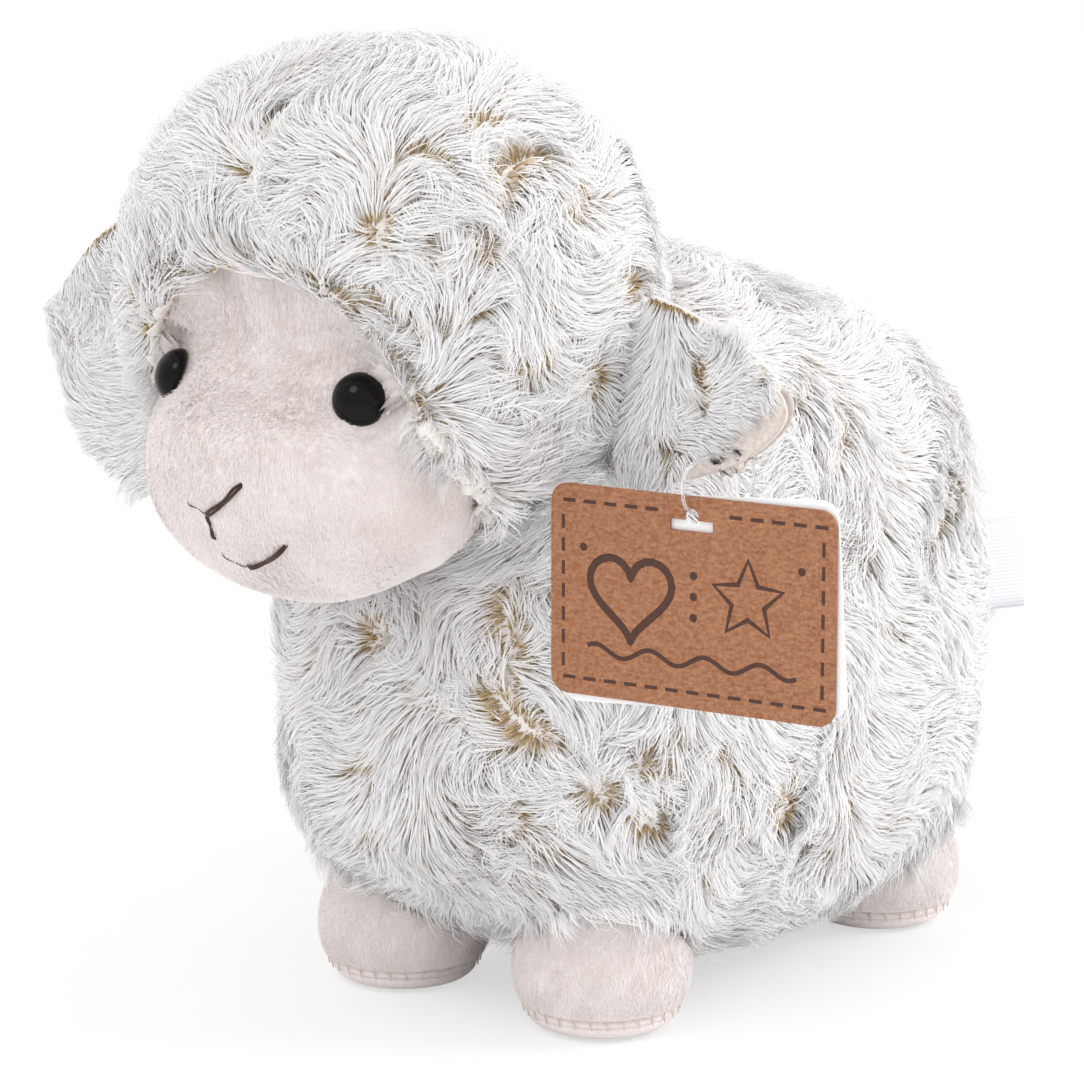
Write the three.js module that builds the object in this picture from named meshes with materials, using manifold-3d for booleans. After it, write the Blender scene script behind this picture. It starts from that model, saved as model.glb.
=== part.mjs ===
// A plush sheep: a stuffed body and head in long pile, a short-pile face with two safety eyes, four
// short stuffed feet, two lined ears, a tail, a care label, and a pair of card tags on a plastic loop.
// Millimetres, +Z up. The sheep faces -Y, its own left side is +X and it stands on its soles.
import * as THREE from "three";
import Module from "manifold-3d";
import { mergeVertices } from "three/addons/utils/BufferGeometryUtils.js";

const wasm = await Module();
wasm.setup();

// Clearances
const SEAM_GAP = 0.3; // between pieces that touch or are sewn together
const TURN_GAP = 0.5; // where a piece turns against another
const CUT_OVERRUN = 6; // how far a cutting solid runs past what it cuts

// Cloth
const FUR = 8; // long pile and its backing, laid down
const VELOUR = 2.4; // short pile and its backing

// Tufts of the pile: shallow dips between rounded locks, where three waves cross
const TUFTS = { depth: 5, span: 36, headingShares: [[1, 0.3, 0.25], [-0.4, 1, 0.35], [0.3, -0.5, 1]] };

// Facets
const BODY_FACETS = { rings: 23, sides: 42 };
const HEAD_FACETS = { rings: 20, sides: 34 };
const FACE_FACETS = { rings: 16, sides: 24 };
const INNER_FACETS = { rings: 12, sides: 18 };
const ROUND_SIDES = 16;
const SMALL_SIDES = 12;

// Body: a full barrel, highest where the neck rises into the head
const BODY = {
  length: 198,
  width: 130,
  height: 160,
  centreY: -4,
  endFullness: 2.9,
  backFullness: 3,
  bellyFullness: 3.8,
  widthShares: [0.98, 1, 1.01, 1, 0.97],
  backShares: [0.94, 1.15, 1.09, 1.02, 1.02],
  bellyShares: [0.09, 0.05, 0.035, 0.035, 0.035],
};

// Head: the fur hood, wide at the cheeks
const HEAD = {
  length: 97,
  width: 132,
  height: 228,
  centreY: -100,
  endFullness: 2.1,
  backFullness: 2.1,
  bellyFullness: 2.1,
  widthShares: [1, 1, 1],
  backShares: [1, 1, 1],
  bellyShares: [0.495, 0.495, 0.495],
};

// Face: the short-pile muzzle that stands out of the hood, deepest at the forehead
const CROWN_PILE = 39; // from the top of the face's form up to the top of the hood
const FACE = {
  length: 88.5,
  width: 83,
  height: HEAD.height - CROWN_PILE,
  centreY: -110.5,
  rearY: -104,
  endFullness: 2.3,
  backFullness: 3,
  bellyFullness: 2.1,
  widthShares: [0.98, 0.99, 1, 1, 1, 1, 1],
  backShares: [0.87, 0.86, 0.96, 1, 1, 1, 1],
  bellyShares: [0.605, 0.565, 0.557, 0.575, 0.575, 0.575, 0.575],
};

// Opening of the hood round the face, centred at its share of the face's height
const HAIRLINE = { halfWidth: 38, halfHeight: 37, centreShare: 0.7672, sides: 28 };

// Safety eyes, at their share of the face's height
const EYE = {
  radius: 6,
  domeHeight: 5.4,
  sink: 2,
  stemRadius: 1.7,
  stemLength: 9,
  originY: -114,
  heightShare: 0.8254,
  outward: 50, // degrees from straight ahead
  washerRadius: 6.4,
  washerThickness: 1.2,
  steps: 6,
};

// Stitched nose and mouth, each drawn with one thick thread, as shares of its width across and up
// from its own share of the face's height
const STITCH = {
  radius: 0.7,
  sides: 6,
  steps: 4,
  aimY: -104,
  noseWidth: 16.6,
  noseHeightShare: 0.6931,
  noseStemShares: [[0.49, 0.41], [0.2, 0.17], [-0.16, -0.04], [-0.18, -0.21], [-0.21, -0.39]],
  noseWingShares: [[-0.5, 0.06], [-0.33, 0.01], [-0.16, -0.04]],
  mouthWidth: 19.2,
  mouthHeightShare: 0.6243,
  mouthShares: [[-0.21, 0.14], [-0.08, 0.04], [0.13, 0.03], [0.39, 0.11], [0.79, 0.36]],
};

// Feet: short stubs on dished soles
const LEG = {
  radius: 20,
  height: 46,
  halfTrack: 30,
  frontY: -58,
  rearY: 54,
  seamHeight: 5,
  radiusShares: [0.93, 0.985, 1, 0.98, 0.9, 0.83, 0.79],
  heightShares: [0, 0.06, 0.16, 0.3, 0.54, 0.78, 1],
  soleRadiusShares: [0.64, 0.82, 0.9, 0.925],
  soleHeightShares: [0, 0.24, 0.6, 1],
};

// Tail: a stuffed drop that hangs from a narrow root
const TAIL = {
  length: 62,
  radius: 15,
  cloth: 5,
  rootRadius: 8,
  rootMouth: 3,
  rootTurnShares: [0, 0.35, 0.7, 1],
  rootHeight: 106,
  rootStandOff: 5.2,
  hang: 53, // degrees below level
  radiusShares: [0.54, 0.8, 0.97, 1, 0.88, 0.6],
  lengthShares: [0.12, 0.3, 0.48, 0.66, 0.84, 0.95],
};

// Ears: lined leaves sewn on at the sides of the head, below its crown
const EAR = { rootX: 52, waist: 12, midY: -87, crownDrop: 68, pile: 5, lining: 1.8, cup: 3, rimShare: 0.45 };
const EAR_HEIGHT = HEAD.height - EAR.crownDrop;
const EAR_FACETS = { rings: 4, sectors: 24 };
const LEFT_EAR = { side: 1, length: 54, upper: 18, lower: 23, droop: 5, tipFullness: 1.6, rootFullness: 3.4 };
const RIGHT_EAR = { side: -1, length: 62, upper: 31, lower: 38, droop: 12, tipFullness: 2.4, rootFullness: 3.4 };

// Card tags, which hang level below the left ear from a hole under the top edge
const TAG = {
  width: 68,
  height: 45.6,
  thickness: 0.5,
  spacing: 0.9,
  corner: 4,
  arcSteps: 5,
  yaw: 8, // degrees
  backTurn: 3.5, // degrees
  holeX: 87.8,
  holeY: -101.5,
  earDrop: 27,
  holeDepth: 4.4,
  holeRadius: 1.7,
  slotLength: 10.2,
  slotWidth: 2.3,
  slotDrop: 1.9,
};
const TAG_HEIGHT = EAR_HEIGHT - TAG.earDrop;

// Plastic loop: through the ear above its rim, and through the holes of both tags
const LOOP = { radius: 0.4, width: 25, height: 12, midY: -92.5, fullness: 3, sides: 6, steps: 28 };

// Care label: a folded ribbon beside the tail
const LABEL = { length: 27, height: 24, ply: 0.4, fold: 0.3, standOff: 0.8, x: 20, baseHeight: 69, outward: 22, foldSteps: 6 };

// A closed mesh as a solid, with its shared corners joined
function solid(geometry) {
  const bare = geometry.clone();
  bare.deleteAttribute("normal");
  bare.deleteAttribute("uv");
  const merged = mergeVertices(bare);
  return new wasm.Manifold(
    new wasm.Mesh({
      numProp: 3,
      vertProperties: Float32Array.from(merged.getAttribute("position").array),
      triVerts: Uint32Array.from(merged.getIndex().array),
    }),
  );
}

// A solid as a mesh for the scene
function geometryOf(shape) {
  const { vertProperties, triVerts, numProp } = shape.getMesh();
  const positions = [];
  for (let i = 0; i < vertProperties.length; i += numProp) positions.push(...vertProperties.slice(i, i + 3));
  const geometry = new THREE.BufferGeometry();
  geometry.setAttribute("position", new THREE.Float32BufferAttribute(positions, 3));
  geometry.setIndex(Array.from(triVerts));
  geometry.computeVertexNormals();
  return geometry;
}

function meshGeometry(positions, index) {
  const geometry = new THREE.BufferGeometry();
  geometry.setAttribute("position", new THREE.Float32BufferAttribute(positions, 3));
  geometry.setIndex(index);
  return geometry;
}

// A table of shares read as a smooth curve, from its first share at 0 to its last at 1
function shareAt(shares, place) {
  const last = shares.length - 1;
  const i = Math.min(Math.floor(place * last), last - 1);
  const f = place * last - i;
  const [a, b, c, d] = [i - 1, i, i + 1, i + 2].map((k) => shares[THREE.MathUtils.clamp(k, 0, last)]);
  return b + (f / 2) * (c - a + f * (2 * a - 5 * b + 4 * c - d + f * (3 * (b - c) + d - a)));
}

// A cosine or sine drawn towards a square as the fullness rises from 2
const rounded = (value, fullness) => Math.sign(value) * Math.abs(value) ** (2 / fullness);

// A stuffed form that lies along Y: it swells and tapers by its shares, and grow moves its skin out or in
function stuffedForm(form, { rings, sides }, grow = 0) {
  const point = (along, around) => {
    const t = -Math.cos(along * Math.PI);
    const place = (1 + t) / 2;
    const swell = Math.max(0, 1 - Math.abs(t) ** form.endFullness) ** (1 / form.endFullness);
    const top = form.height * shareAt(form.backShares, place);
    const bottom = form.height * shareAt(form.bellyShares, place);
    const fullness = around < 0.5 ? form.backFullness : form.bellyFullness;
    const across = rounded(Math.cos(around * 2 * Math.PI), fullness);
    const up = rounded(Math.sin(around * 2 * Math.PI), fullness);
    return [
      ((form.width / 2) * shareAt(form.widthShares, place) + grow) * swell * across,
      form.centreY + (form.length / 2 + grow) * t,
      (top + bottom) / 2 + ((top - bottom) / 2 + grow) * swell * up,
    ];
  };
  const positions = [];
  const index = [];
  for (let i = 1; i < rings; i += 1) {
    for (let j = 0; j < sides; j += 1) positions.push(...point(i / rings, j / sides));
  }
  const front = (rings - 1) * sides;
  const back = front + 1;
  positions.push(...point(0, 0), ...point(1, 0));
  for (let j = 0; j < sides; j += 1) {
    const k = (j + 1) % sides;
    index.push(front, j, k);
    index.push(back, front - sides + k, front - sides + j);
    for (let i = 0; i < rings - 2; i += 1) {
      const [a, b, c, d] = [i * sides + j, i * sides + k, (i + 1) * sides + k, (i + 1) * sides + j];
      index.push(a, c, b, a, d, c);
    }
  }
  return meshGeometry(positions, index);
}

// A fur skin with its dips pressed in, none of them where an ear, the tail or the label is sewn on
function tufted(skin) {
  const rump = BODY.centreY + BODY.length / 2;
  const sewn = [1, -1].map((side) => new THREE.Vector3(side * EAR.rootX, EAR.midY, EAR_HEIGHT));
  sewn.push(new THREE.Vector3(0, rump, TAIL.rootHeight));
  sewn.push(new THREE.Vector3(LABEL.x, rump, LABEL.baseHeight + LABEL.height / 2));
  skin.computeVertexNormals();
  const { position, normal } = skin.attributes;
  const point = new THREE.Vector3();
  for (let i = 0; i < position.count; i += 1) {
    point.fromBufferAttribute(position, i);
    const crossing = TUFTS.headingShares.reduce((sum, heading) => {
      return sum + Math.sin((2 * Math.PI * point.dot(new THREE.Vector3(...heading))) / TUFTS.span);
    }, 0);
    const nearest = Math.min(...sewn.map((root) => root.distanceTo(point)));
    const calm = THREE.MathUtils.smoothstep(nearest, TUFTS.span / 2, TUFTS.span);
    const dip = (TUFTS.depth * calm * (1 - crossing / TUFTS.headingShares.length)) / 2;
    point.addScaledVector(new THREE.Vector3().fromBufferAttribute(normal, i), -dip);
    position.setXYZ(i, point.x, point.y, point.z);
  }
  return skin;
}

// A turned form about Z, from a profile of [radius, height] pairs
function turned(profile, sides = ROUND_SIDES) {
  const points = profile.map(([radius, height]) => new THREE.Vector2(radius, height));
  return new THREE.LatheGeometry(points, sides).rotateX(Math.PI / 2);
}

const cylinder = (radius, from, to) => turned([[0, from], [radius, from], [radius, to], [0, to]], SMALL_SIDES);

// A round thread along an open curve
function thread(points, radius) {
  const section = Array.from({ length: STITCH.sides }, (_, i) => {
    const angle = (i / STITCH.sides) * 2 * Math.PI;
    return new THREE.Vector2(radius * Math.cos(angle), radius * Math.sin(angle));
  });
  const path = new THREE.CatmullRomCurve3(points);
  return solid(
    new THREE.ExtrudeGeometry(new THREE.Shape(section), {
      extrudePath: path,
      steps: STITCH.steps * (points.length - 1),
      bevelEnabled: false,
    }),
  );
}

// Where a line from inside a form meets its skin, and the way the skin faces there
function skinAt(skin, origin, direction) {
  const mesh = new THREE.Mesh(skin, new THREE.MeshBasicMaterial({ side: THREE.DoubleSide }));
  const hits = new THREE.Raycaster(origin, direction).intersectObject(mesh);
  return hits[hits.length - 1];
}

// Forms: outer skins, the inner faces of the cloth, and the fillings inside them
const bodySkin = stuffedForm(BODY, BODY_FACETS);
const bodyOuter = solid(tufted(stuffedForm(BODY, BODY_FACETS)));
const bodyClear = solid(tufted(stuffedForm(BODY, BODY_FACETS, SEAM_GAP)));
const bodyInner = solid(stuffedForm(BODY, INNER_FACETS, -FUR));
const bodyFilling = solid(stuffedForm(BODY, INNER_FACETS, -FUR - SEAM_GAP));
const headOuter = solid(tufted(stuffedForm(HEAD, HEAD_FACETS)));
const headClear = solid(stuffedForm(HEAD, HEAD_FACETS, TURN_GAP));
const headInner = solid(stuffedForm(HEAD, INNER_FACETS, -FUR));
const headFilling = solid(stuffedForm(HEAD, INNER_FACETS, -FUR - SEAM_GAP));
const faceSkin = stuffedForm(FACE, FACE_FACETS);
const faceOuter = solid(faceSkin);
const faceClear = solid(stuffedForm(FACE, FACE_FACETS, SEAM_GAP));
const faceInner = solid(stuffedForm(FACE, FACE_FACETS, -VELOUR));
const faceFilling = solid(stuffedForm(FACE, FACE_FACETS, -VELOUR - SEAM_GAP));

// Everything ahead of the seam where the face cloth ends inside the hood
function aheadOfSeam(overlap) {
  const reach = FACE.length + CUT_OVERRUN;
  const block = new THREE.BoxGeometry(FACE.width + CUT_OVERRUN, reach, FACE.height + CUT_OVERRUN);
  return solid(block.translate(0, FACE.rearY + overlap - reach / 2, (FACE.height + CUT_OVERRUN) / 2));
}

// The hood's opening round the face: a straight oval from the seam forwards
function faceOpening(grow) {
  const oval = new THREE.Shape();
  oval.absellipse(0, 0, HAIRLINE.halfWidth + grow, HAIRLINE.halfHeight + grow, 0, 2 * Math.PI);
  const options = { depth: FACE.length, bevelEnabled: false, curveSegments: HAIRLINE.sides };
  const cut = new THREE.ExtrudeGeometry(oval, options).rotateX(Math.PI / 2);
  return solid(cut.translate(0, FACE.rearY, FACE.height * HAIRLINE.centreShare));
}

// Legs
const LEGS = [
  { name: "front_left", x: LEG.halfTrack, y: LEG.frontY },
  { name: "front_right", x: -LEG.halfTrack, y: LEG.frontY },
  { name: "rear_left", x: LEG.halfTrack, y: LEG.rearY },
  { name: "rear_right", x: -LEG.halfTrack, y: LEG.rearY },
];

function legSides(inset) {
  return LEG.radiusShares.map((share, i) => [
    LEG.radius * share - inset,
    LEG.seamHeight + SEAM_GAP + (LEG.height - LEG.seamHeight) * LEG.heightShares[i],
  ]);
}

function legCover({ x, y }) {
  const outer = legSides(0);
  const inner = legSides(VELOUR).reverse();
  return solid(turned([...outer, ...inner, outer[0]]).translate(x, y, 0)).subtract(bodyClear);
}

// The dish of the sole, flat in the middle and rising to its seam; inset gives its inner face
function soleDish(inset) {
  const rim = LEG.soleRadiusShares.length - 1;
  return LEG.soleRadiusShares.map((share, i) => [
    LEG.radius * share - inset * (i / rim),
    LEG.seamHeight * LEG.soleHeightShares[i] + inset * (1 - i / rim),
  ]);
}

function legSole({ x, y }) {
  const inner = soleDish(VELOUR).reverse();
  return solid(turned([[0, 0], ...soleDish(0), ...inner, [0, VELOUR]]).translate(x, y, 0));
}

// The filling of a leg, which runs up through the body's cloth
function legCore({ x, y }, inset) {
  const floor = VELOUR + inset;
  const top = LEG.height + LEG.seamHeight;
  return solid(turned([[0, floor], ...soleDish(floor), ...legSides(floor), [0, top]]).translate(x, y, 0));
}

// Tail: turned about its own length from the ball of its root, then hung at the rump
const tailRoot = skinAt(bodySkin, new THREE.Vector3(0, 0, TAIL.rootHeight), new THREE.Vector3(0, 1, 0)).point;
tailRoot.y += TAIL.rootStandOff;

function tailSkin(inset) {
  const ball = TAIL.rootRadius - inset;
  const mouth = Math.asin(TAIL.rootMouth / TAIL.rootRadius);
  const root = TAIL.rootTurnShares.map((share) => {
    const turn = THREE.MathUtils.lerp(mouth, Math.PI / 2, share);
    return [ball * Math.sin(turn), -ball * Math.cos(turn)];
  });
  const drop = TAIL.radiusShares.map((share, i) => [
    TAIL.radius * share - inset,
    (TAIL.length - inset) * TAIL.lengthShares[i],
  ]);
  return [...root, ...drop, [0, TAIL.length - inset]];
}

function tailFilling() {
  const skin = tailSkin(TAIL.cloth + SEAM_GAP);
  return [[0, skin[0][1]], ...skin];
}

function tailPiece(profile) {
  const hung = turned(profile).rotateX(-THREE.MathUtils.degToRad(90 + TAIL.hang));
  return solid(hung.translate(0, tailRoot.y, tailRoot.z));
}

function tailGroove() {
  const ball = new THREE.SphereGeometry(TAIL.rootRadius + TURN_GAP, ROUND_SIDES, SMALL_SIDES);
  return solid(ball.translate(0, tailRoot.y, tailRoot.z));
}

// Eyes: a domed button on a stem, square to the face cloth, and a washer behind the cloth
const WASHER_DEPTH = VELOUR + 2 * SEAM_GAP + EYE.washerRadius ** 2 / (FACE.width / 2);

function onEye(side, geometry) {
  const aim = THREE.MathUtils.degToRad(EYE.outward);
  const direction = new THREE.Vector3(Math.sin(aim), -Math.cos(aim), 0);
  const { point, face } = skinAt(faceSkin, new THREE.Vector3(0, EYE.originY, FACE.height * EYE.heightShare), direction);
  const mirror = new THREE.Vector3(side, 1, 1);
  const turn = new THREE.Quaternion();
  turn.setFromUnitVectors(new THREE.Vector3(0, 0, 1), face.normal.clone().multiply(mirror));
  return solid(geometry.applyQuaternion(turn).translate(...point.multiply(mirror).toArray()));
}

const eyeStem = (side, grow) => onEye(side, cylinder(EYE.stemRadius + grow, -EYE.stemLength - grow, EYE.sink));

function eye(side) {
  const cap = Array.from({ length: EYE.steps + 1 }, (_, i) => {
    const turn = (i / EYE.steps) * (Math.PI / 2);
    return [EYE.radius * Math.cos(turn), -EYE.sink + EYE.domeHeight * Math.sin(turn)];
  });
  const dome = onEye(side, turned([[0, -EYE.sink], ...cap]));
  return dome.subtract(faceClear).add(eyeStem(side, 0));
}

function washer(side) {
  const bore = EYE.stemRadius + SEAM_GAP;
  const back = -WASHER_DEPTH - EYE.washerThickness;
  const front = -WASHER_DEPTH;
  const ring = [[bore, back], [EYE.washerRadius, back], [EYE.washerRadius, front], [bore, front], [bore, back]];
  return onEye(side, turned(ring));
}

function washerPocket(side) {
  const back = -WASHER_DEPTH - EYE.washerThickness - SEAM_GAP;
  return onEye(side, cylinder(EYE.washerRadius + SEAM_GAP, back, 0));
}

// A thread laid on the face
function stitch(shares, width, heightShare) {
  const points = shares.map(([across, up]) => {
    const height = FACE.height * heightShare + up * width;
    const origin = new THREE.Vector3(across * width, STITCH.aimY, height);
    const { point, face } = skinAt(faceSkin, origin, new THREE.Vector3(0, -1, 0));
    return point.addScaledVector(face.normal, STITCH.radius + SEAM_GAP);
  });
  return thread(points, STITCH.radius).subtract(faceClear);
}

function nose() {
  const stem = stitch(STITCH.noseStemShares, STITCH.noseWidth, STITCH.noseHeightShare);
  return stem.add(stitch(STITCH.noseWingShares, STITCH.noseWidth, STITCH.noseHeightShare));
}

// A layer of an ear between two distances behind the leaf's middle surface, thinner towards its rim
function earLayer(ear, front, back) {
  const droop = THREE.MathUtils.degToRad(ear.droop);
  const { rings, sectors } = EAR_FACETS;
  const place = (share, sector, offset) => {
    const angle = (sector / sectors) * 2 * Math.PI;
    const fullness = Math.cos(angle) > 0 ? ear.tipFullness : ear.rootFullness;
    const reach = Math.cos(angle) > 0 ? ear.length - EAR.waist : EAR.waist;
    const along = EAR.waist + share * reach * rounded(Math.cos(angle), fullness);
    const up = share * (angle < Math.PI ? ear.upper : ear.lower) * rounded(Math.sin(angle), fullness);
    const thinning = Math.abs(offset) > SEAM_GAP ? 1 - (1 - EAR.rimShare) * share ** 2 : 1;
    return [
      ear.side * (EAR.rootX + along * Math.cos(droop) + up * Math.sin(droop)),
      EAR.midY - EAR.cup * share ** 2 + offset * thinning,
      EAR_HEIGHT - along * Math.sin(droop) + up * Math.cos(droop),
    ];
  };
  const positions = [];
  for (const offset of [front, back]) {
    positions.push(...place(0, 0, offset));
    for (let i = 1; i <= rings; i += 1) {
      for (let j = 0; j < sectors; j += 1) positions.push(...place(i / rings, j, offset));
    }
  }
  const index = [];
  const behind = 1 + rings * sectors;
  const triangle = (a, b, c) => index.push(...(ear.side > 0 ? [a, b, c] : [a, c, b]));
  for (let j = 0; j < sectors; j += 1) {
    const k = (j + 1) % sectors;
    triangle(0, 1 + j, 1 + k);
    triangle(behind, behind + 1 + k, behind + 1 + j);
    for (let i = 1; i < rings; i += 1) {
      const inner = 1 + (i - 1) * sectors;
      const outer = inner + sectors;
      triangle(inner + j, outer + j, outer + k);
      triangle(inner + j, outer + k, inner + k);
      triangle(behind + inner + j, behind + outer + k, behind + outer + j);
      triangle(behind + inner + j, behind + inner + k, behind + outer + k);
    }
    const rim = 1 + (rings - 1) * sectors;
    triangle(rim + j, behind + rim + j, rim + k);
    triangle(rim + k, behind + rim + j, behind + rim + k);
  }
  return solid(meshGeometry(positions, index)).subtract(headClear);
}

const earOuter = (ear) => earLayer(ear, -SEAM_GAP / 2 - EAR.pile, -SEAM_GAP / 2);
const earLining = (ear) => earLayer(ear, SEAM_GAP / 2, SEAM_GAP / 2 + EAR.lining);

// The plastic loop, a rounded ring that stands across the ear's rim
function loopRing(grow) {
  const points = Array.from({ length: LOOP.steps }, (_, i) => {
    const angle = (i / LOOP.steps) * 2 * Math.PI;
    return new THREE.Vector3(
      TAG.holeX,
      LOOP.midY + (LOOP.width / 2) * rounded(Math.cos(angle), LOOP.fullness),
      TAG_HEIGHT + (LOOP.height / 2) * (1 + rounded(Math.sin(angle), LOOP.fullness)),
    );
  });
  const path = new THREE.CatmullRomCurve3(points, true);
  return solid(new THREE.TubeGeometry(path, LOOP.steps, LOOP.radius + grow, LOOP.sides, true));
}

// The round hole of a card, run into a level slot on the front one
function cardHole(slotted) {
  const hole = new THREE.Path();
  if (!slotted) return hole.absarc(0, 0, TAG.holeRadius, 0, 2 * Math.PI);
  const half = TAG.slotLength / 2;
  const top = TAG.slotWidth / 2 - TAG.slotDrop;
  const floor = top - TAG.slotWidth;
  const meet = Math.asin(top / TAG.holeRadius);
  hole.absarc(0, 0, TAG.holeRadius, meet, Math.PI - meet);
  return hole.lineTo(-half, top).lineTo(-half, floor).lineTo(half, floor).lineTo(half, top);
}

// A card, drawn about its hole, hung behind the front one by its spacing and turned in its own plane
function card(slotted, spacing, turn) {
  const right = TAG.width / 2 - TAG.corner;
  const top = TAG.holeDepth - TAG.corner;
  const bottom = TAG.holeDepth - TAG.height + TAG.corner;
  const outline = new THREE.Shape();
  outline.absarc(right, top, TAG.corner, 0, Math.PI / 2);
  outline.absarc(-right, top, TAG.corner, Math.PI / 2, Math.PI);
  outline.absarc(-right, bottom, TAG.corner, Math.PI, 1.5 * Math.PI);
  outline.absarc(right, bottom, TAG.corner, 1.5 * Math.PI, 2 * Math.PI);
  outline.holes.push(cardHole(slotted));
  const options = { depth: TAG.thickness, bevelEnabled: false, curveSegments: TAG.arcSteps };
  const blank = new THREE.ExtrudeGeometry(outline, options).rotateX(Math.PI / 2);
  blank.rotateY(THREE.MathUtils.degToRad(turn)).translate(0, spacing, 0);
  blank.rotateZ(THREE.MathUtils.degToRad(TAG.yaw)).translate(TAG.holeX, TAG.holeY, TAG_HEIGHT);
  return solid(blank);
}

// Care label: a ribbon folded back on itself, its fold away from the rump
function careLabel() {
  const half = LABEL.ply + LABEL.fold / 2;
  const slit = LABEL.fold / 2;
  const end = LABEL.length - half;
  const outline = new THREE.Shape();
  outline.moveTo(0, -half).lineTo(end, -half);
  outline.absarc(end, 0, half, -Math.PI / 2, Math.PI / 2);
  outline.lineTo(0, half).lineTo(0, slit).lineTo(end, slit);
  outline.absarc(end, 0, slit, Math.PI / 2, -Math.PI / 2, true);
  outline.lineTo(0, -slit);
  const options = { depth: LABEL.height, bevelEnabled: false, curveSegments: LABEL.foldSteps };
  const ribbon = new THREE.ExtrudeGeometry(outline, options);
  const origin = new THREE.Vector3(LABEL.x, 0, LABEL.baseHeight + LABEL.height / 2);
  const root = skinAt(bodySkin, origin, new THREE.Vector3(0, 1, 0)).point;
  ribbon.rotateZ(THREE.MathUtils.degToRad(90 - LABEL.outward));
  return solid(ribbon.translate(root.x, root.y + LABEL.standOff, LABEL.baseHeight));
}

// Pieces
const bodyCover = LEGS.reduce((shell, leg) => shell.subtract(legCore(leg, 0)), bodyOuter.subtract(bodyInner))
  .subtract(headInner)
  .subtract(tailGroove());
const headCover = headOuter
  .subtract(headInner)
  .subtract(bodyClear)
  .subtract(faceClear.intersect(aheadOfSeam(SEAM_GAP)))
  .subtract(faceOpening(0));
const headStuffing = [1, -1].reduce(
  (filling, side) => filling.subtract(washerPocket(side)).subtract(eyeStem(side, SEAM_GAP)),
  headFilling
    .subtract(faceOpening(SEAM_GAP))
    .subtract(faceClear.intersect(aheadOfSeam(SEAM_GAP)))
    .add(faceFilling.intersect(aheadOfSeam(0)))
    .add(faceFilling.intersect(headFilling))
    .subtract(bodyInner),
);
const facePanel = [1, -1].reduce(
  (panel, side) => panel.subtract(eyeStem(side, SEAM_GAP)),
  faceOuter.subtract(faceInner).intersect(aheadOfSeam(0)).subtract(bodyClear),
);

const looks = {
  fur: { color: 0xe9e4e2, roughness: 0.95 },
  velour: { color: 0xe4dada, roughness: 0.92 },
  lining: { color: 0xd3ccc5, roughness: 0.85 },
  stuffing: { color: 0xf4f2ee, roughness: 0.98 },
  eye: { color: 0x0b0a0a, roughness: 0.06 },
  washer: { color: 0xe8e6e0, roughness: 0.45 },
  thread: { color: 0x4a3027, roughness: 0.8 },
  kraft: { color: 0xa67558, roughness: 0.85 },
  card: { color: 0xf1f1ef, roughness: 0.6 },
  loop: { color: 0xededed, roughness: 0.3 },
  label: { color: 0xf2f2f4, roughness: 0.5 },
};

const pieces = [
  ["body_cover", bodyCover, looks.fur],
  ["body_stuffing", bodyFilling, looks.stuffing],
  ["head_cover", headCover, looks.fur],
  ["head_stuffing", headStuffing, looks.stuffing],
  ["face_panel", facePanel, looks.velour],
  ["nose_embroidery", nose(), looks.thread],
  ["mouth_embroidery", stitch(STITCH.mouthShares, STITCH.mouthWidth, STITCH.mouthHeightShare), looks.thread],
  ["eye_left", eye(1), looks.eye],
  ["eye_right", eye(-1), looks.eye],
  ["eye_washer_left", washer(1), looks.washer],
  ["eye_washer_right", washer(-1), looks.washer],
  ["ear_left_outer", earOuter(LEFT_EAR).subtract(loopRing(TURN_GAP)), looks.fur],
  ["ear_left_lining", earLining(LEFT_EAR).subtract(loopRing(TURN_GAP)), looks.lining],
  ["ear_right_outer", earOuter(RIGHT_EAR), looks.fur],
  ["ear_right_lining", earLining(RIGHT_EAR), looks.lining],
  ["tail_cover", tailPiece([...tailSkin(0), ...tailSkin(TAIL.cloth).reverse(), tailSkin(0)[0]]), looks.fur],
  ["tail_stuffing", tailPiece(tailFilling()), looks.stuffing],
  ["care_label", careLabel(), looks.label],
  ["tag_loop", loopRing(0), looks.loop],
  ["tag_front_card", card(true, 0, 0), looks.kraft],
  ["tag_back_card", card(false, TAG.spacing, -TAG.backTurn), looks.card],
];
for (const leg of LEGS) {
  pieces.push(
    [`leg_${leg.name}_cover`, legCover(leg), looks.velour],
    [`leg_${leg.name}_sole`, legSole(leg), looks.velour],
    [`leg_${leg.name}_stuffing`, legCore(leg, SEAM_GAP).subtract(bodyInner), looks.stuffing],
  );
}

const sheep = new THREE.Group();
sheep.name = "plush_sheep";
for (const [name, shape, look] of pieces) {
  const mesh = new THREE.Mesh(geometryOf(shape), new THREE.MeshStandardMaterial(look));
  mesh.name = name;
  sheep.add(mesh);
}

// The origin is under the middle of the whole toy, at the soles
const extent = new THREE.Box3().setFromObject(sheep);
const middle = extent.getCenter(new THREE.Vector3());
for (const mesh of sheep.children) mesh.geometry.translate(-middle.x, -middle.y, -extent.min.z);

export default sheep;
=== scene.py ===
import math

import bmesh
import bpy
import numpy as np
from mathutils import Matrix, Vector
from mathutils.bvhtree import BVHTree
from mathutils.kdtree import KDTree


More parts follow.
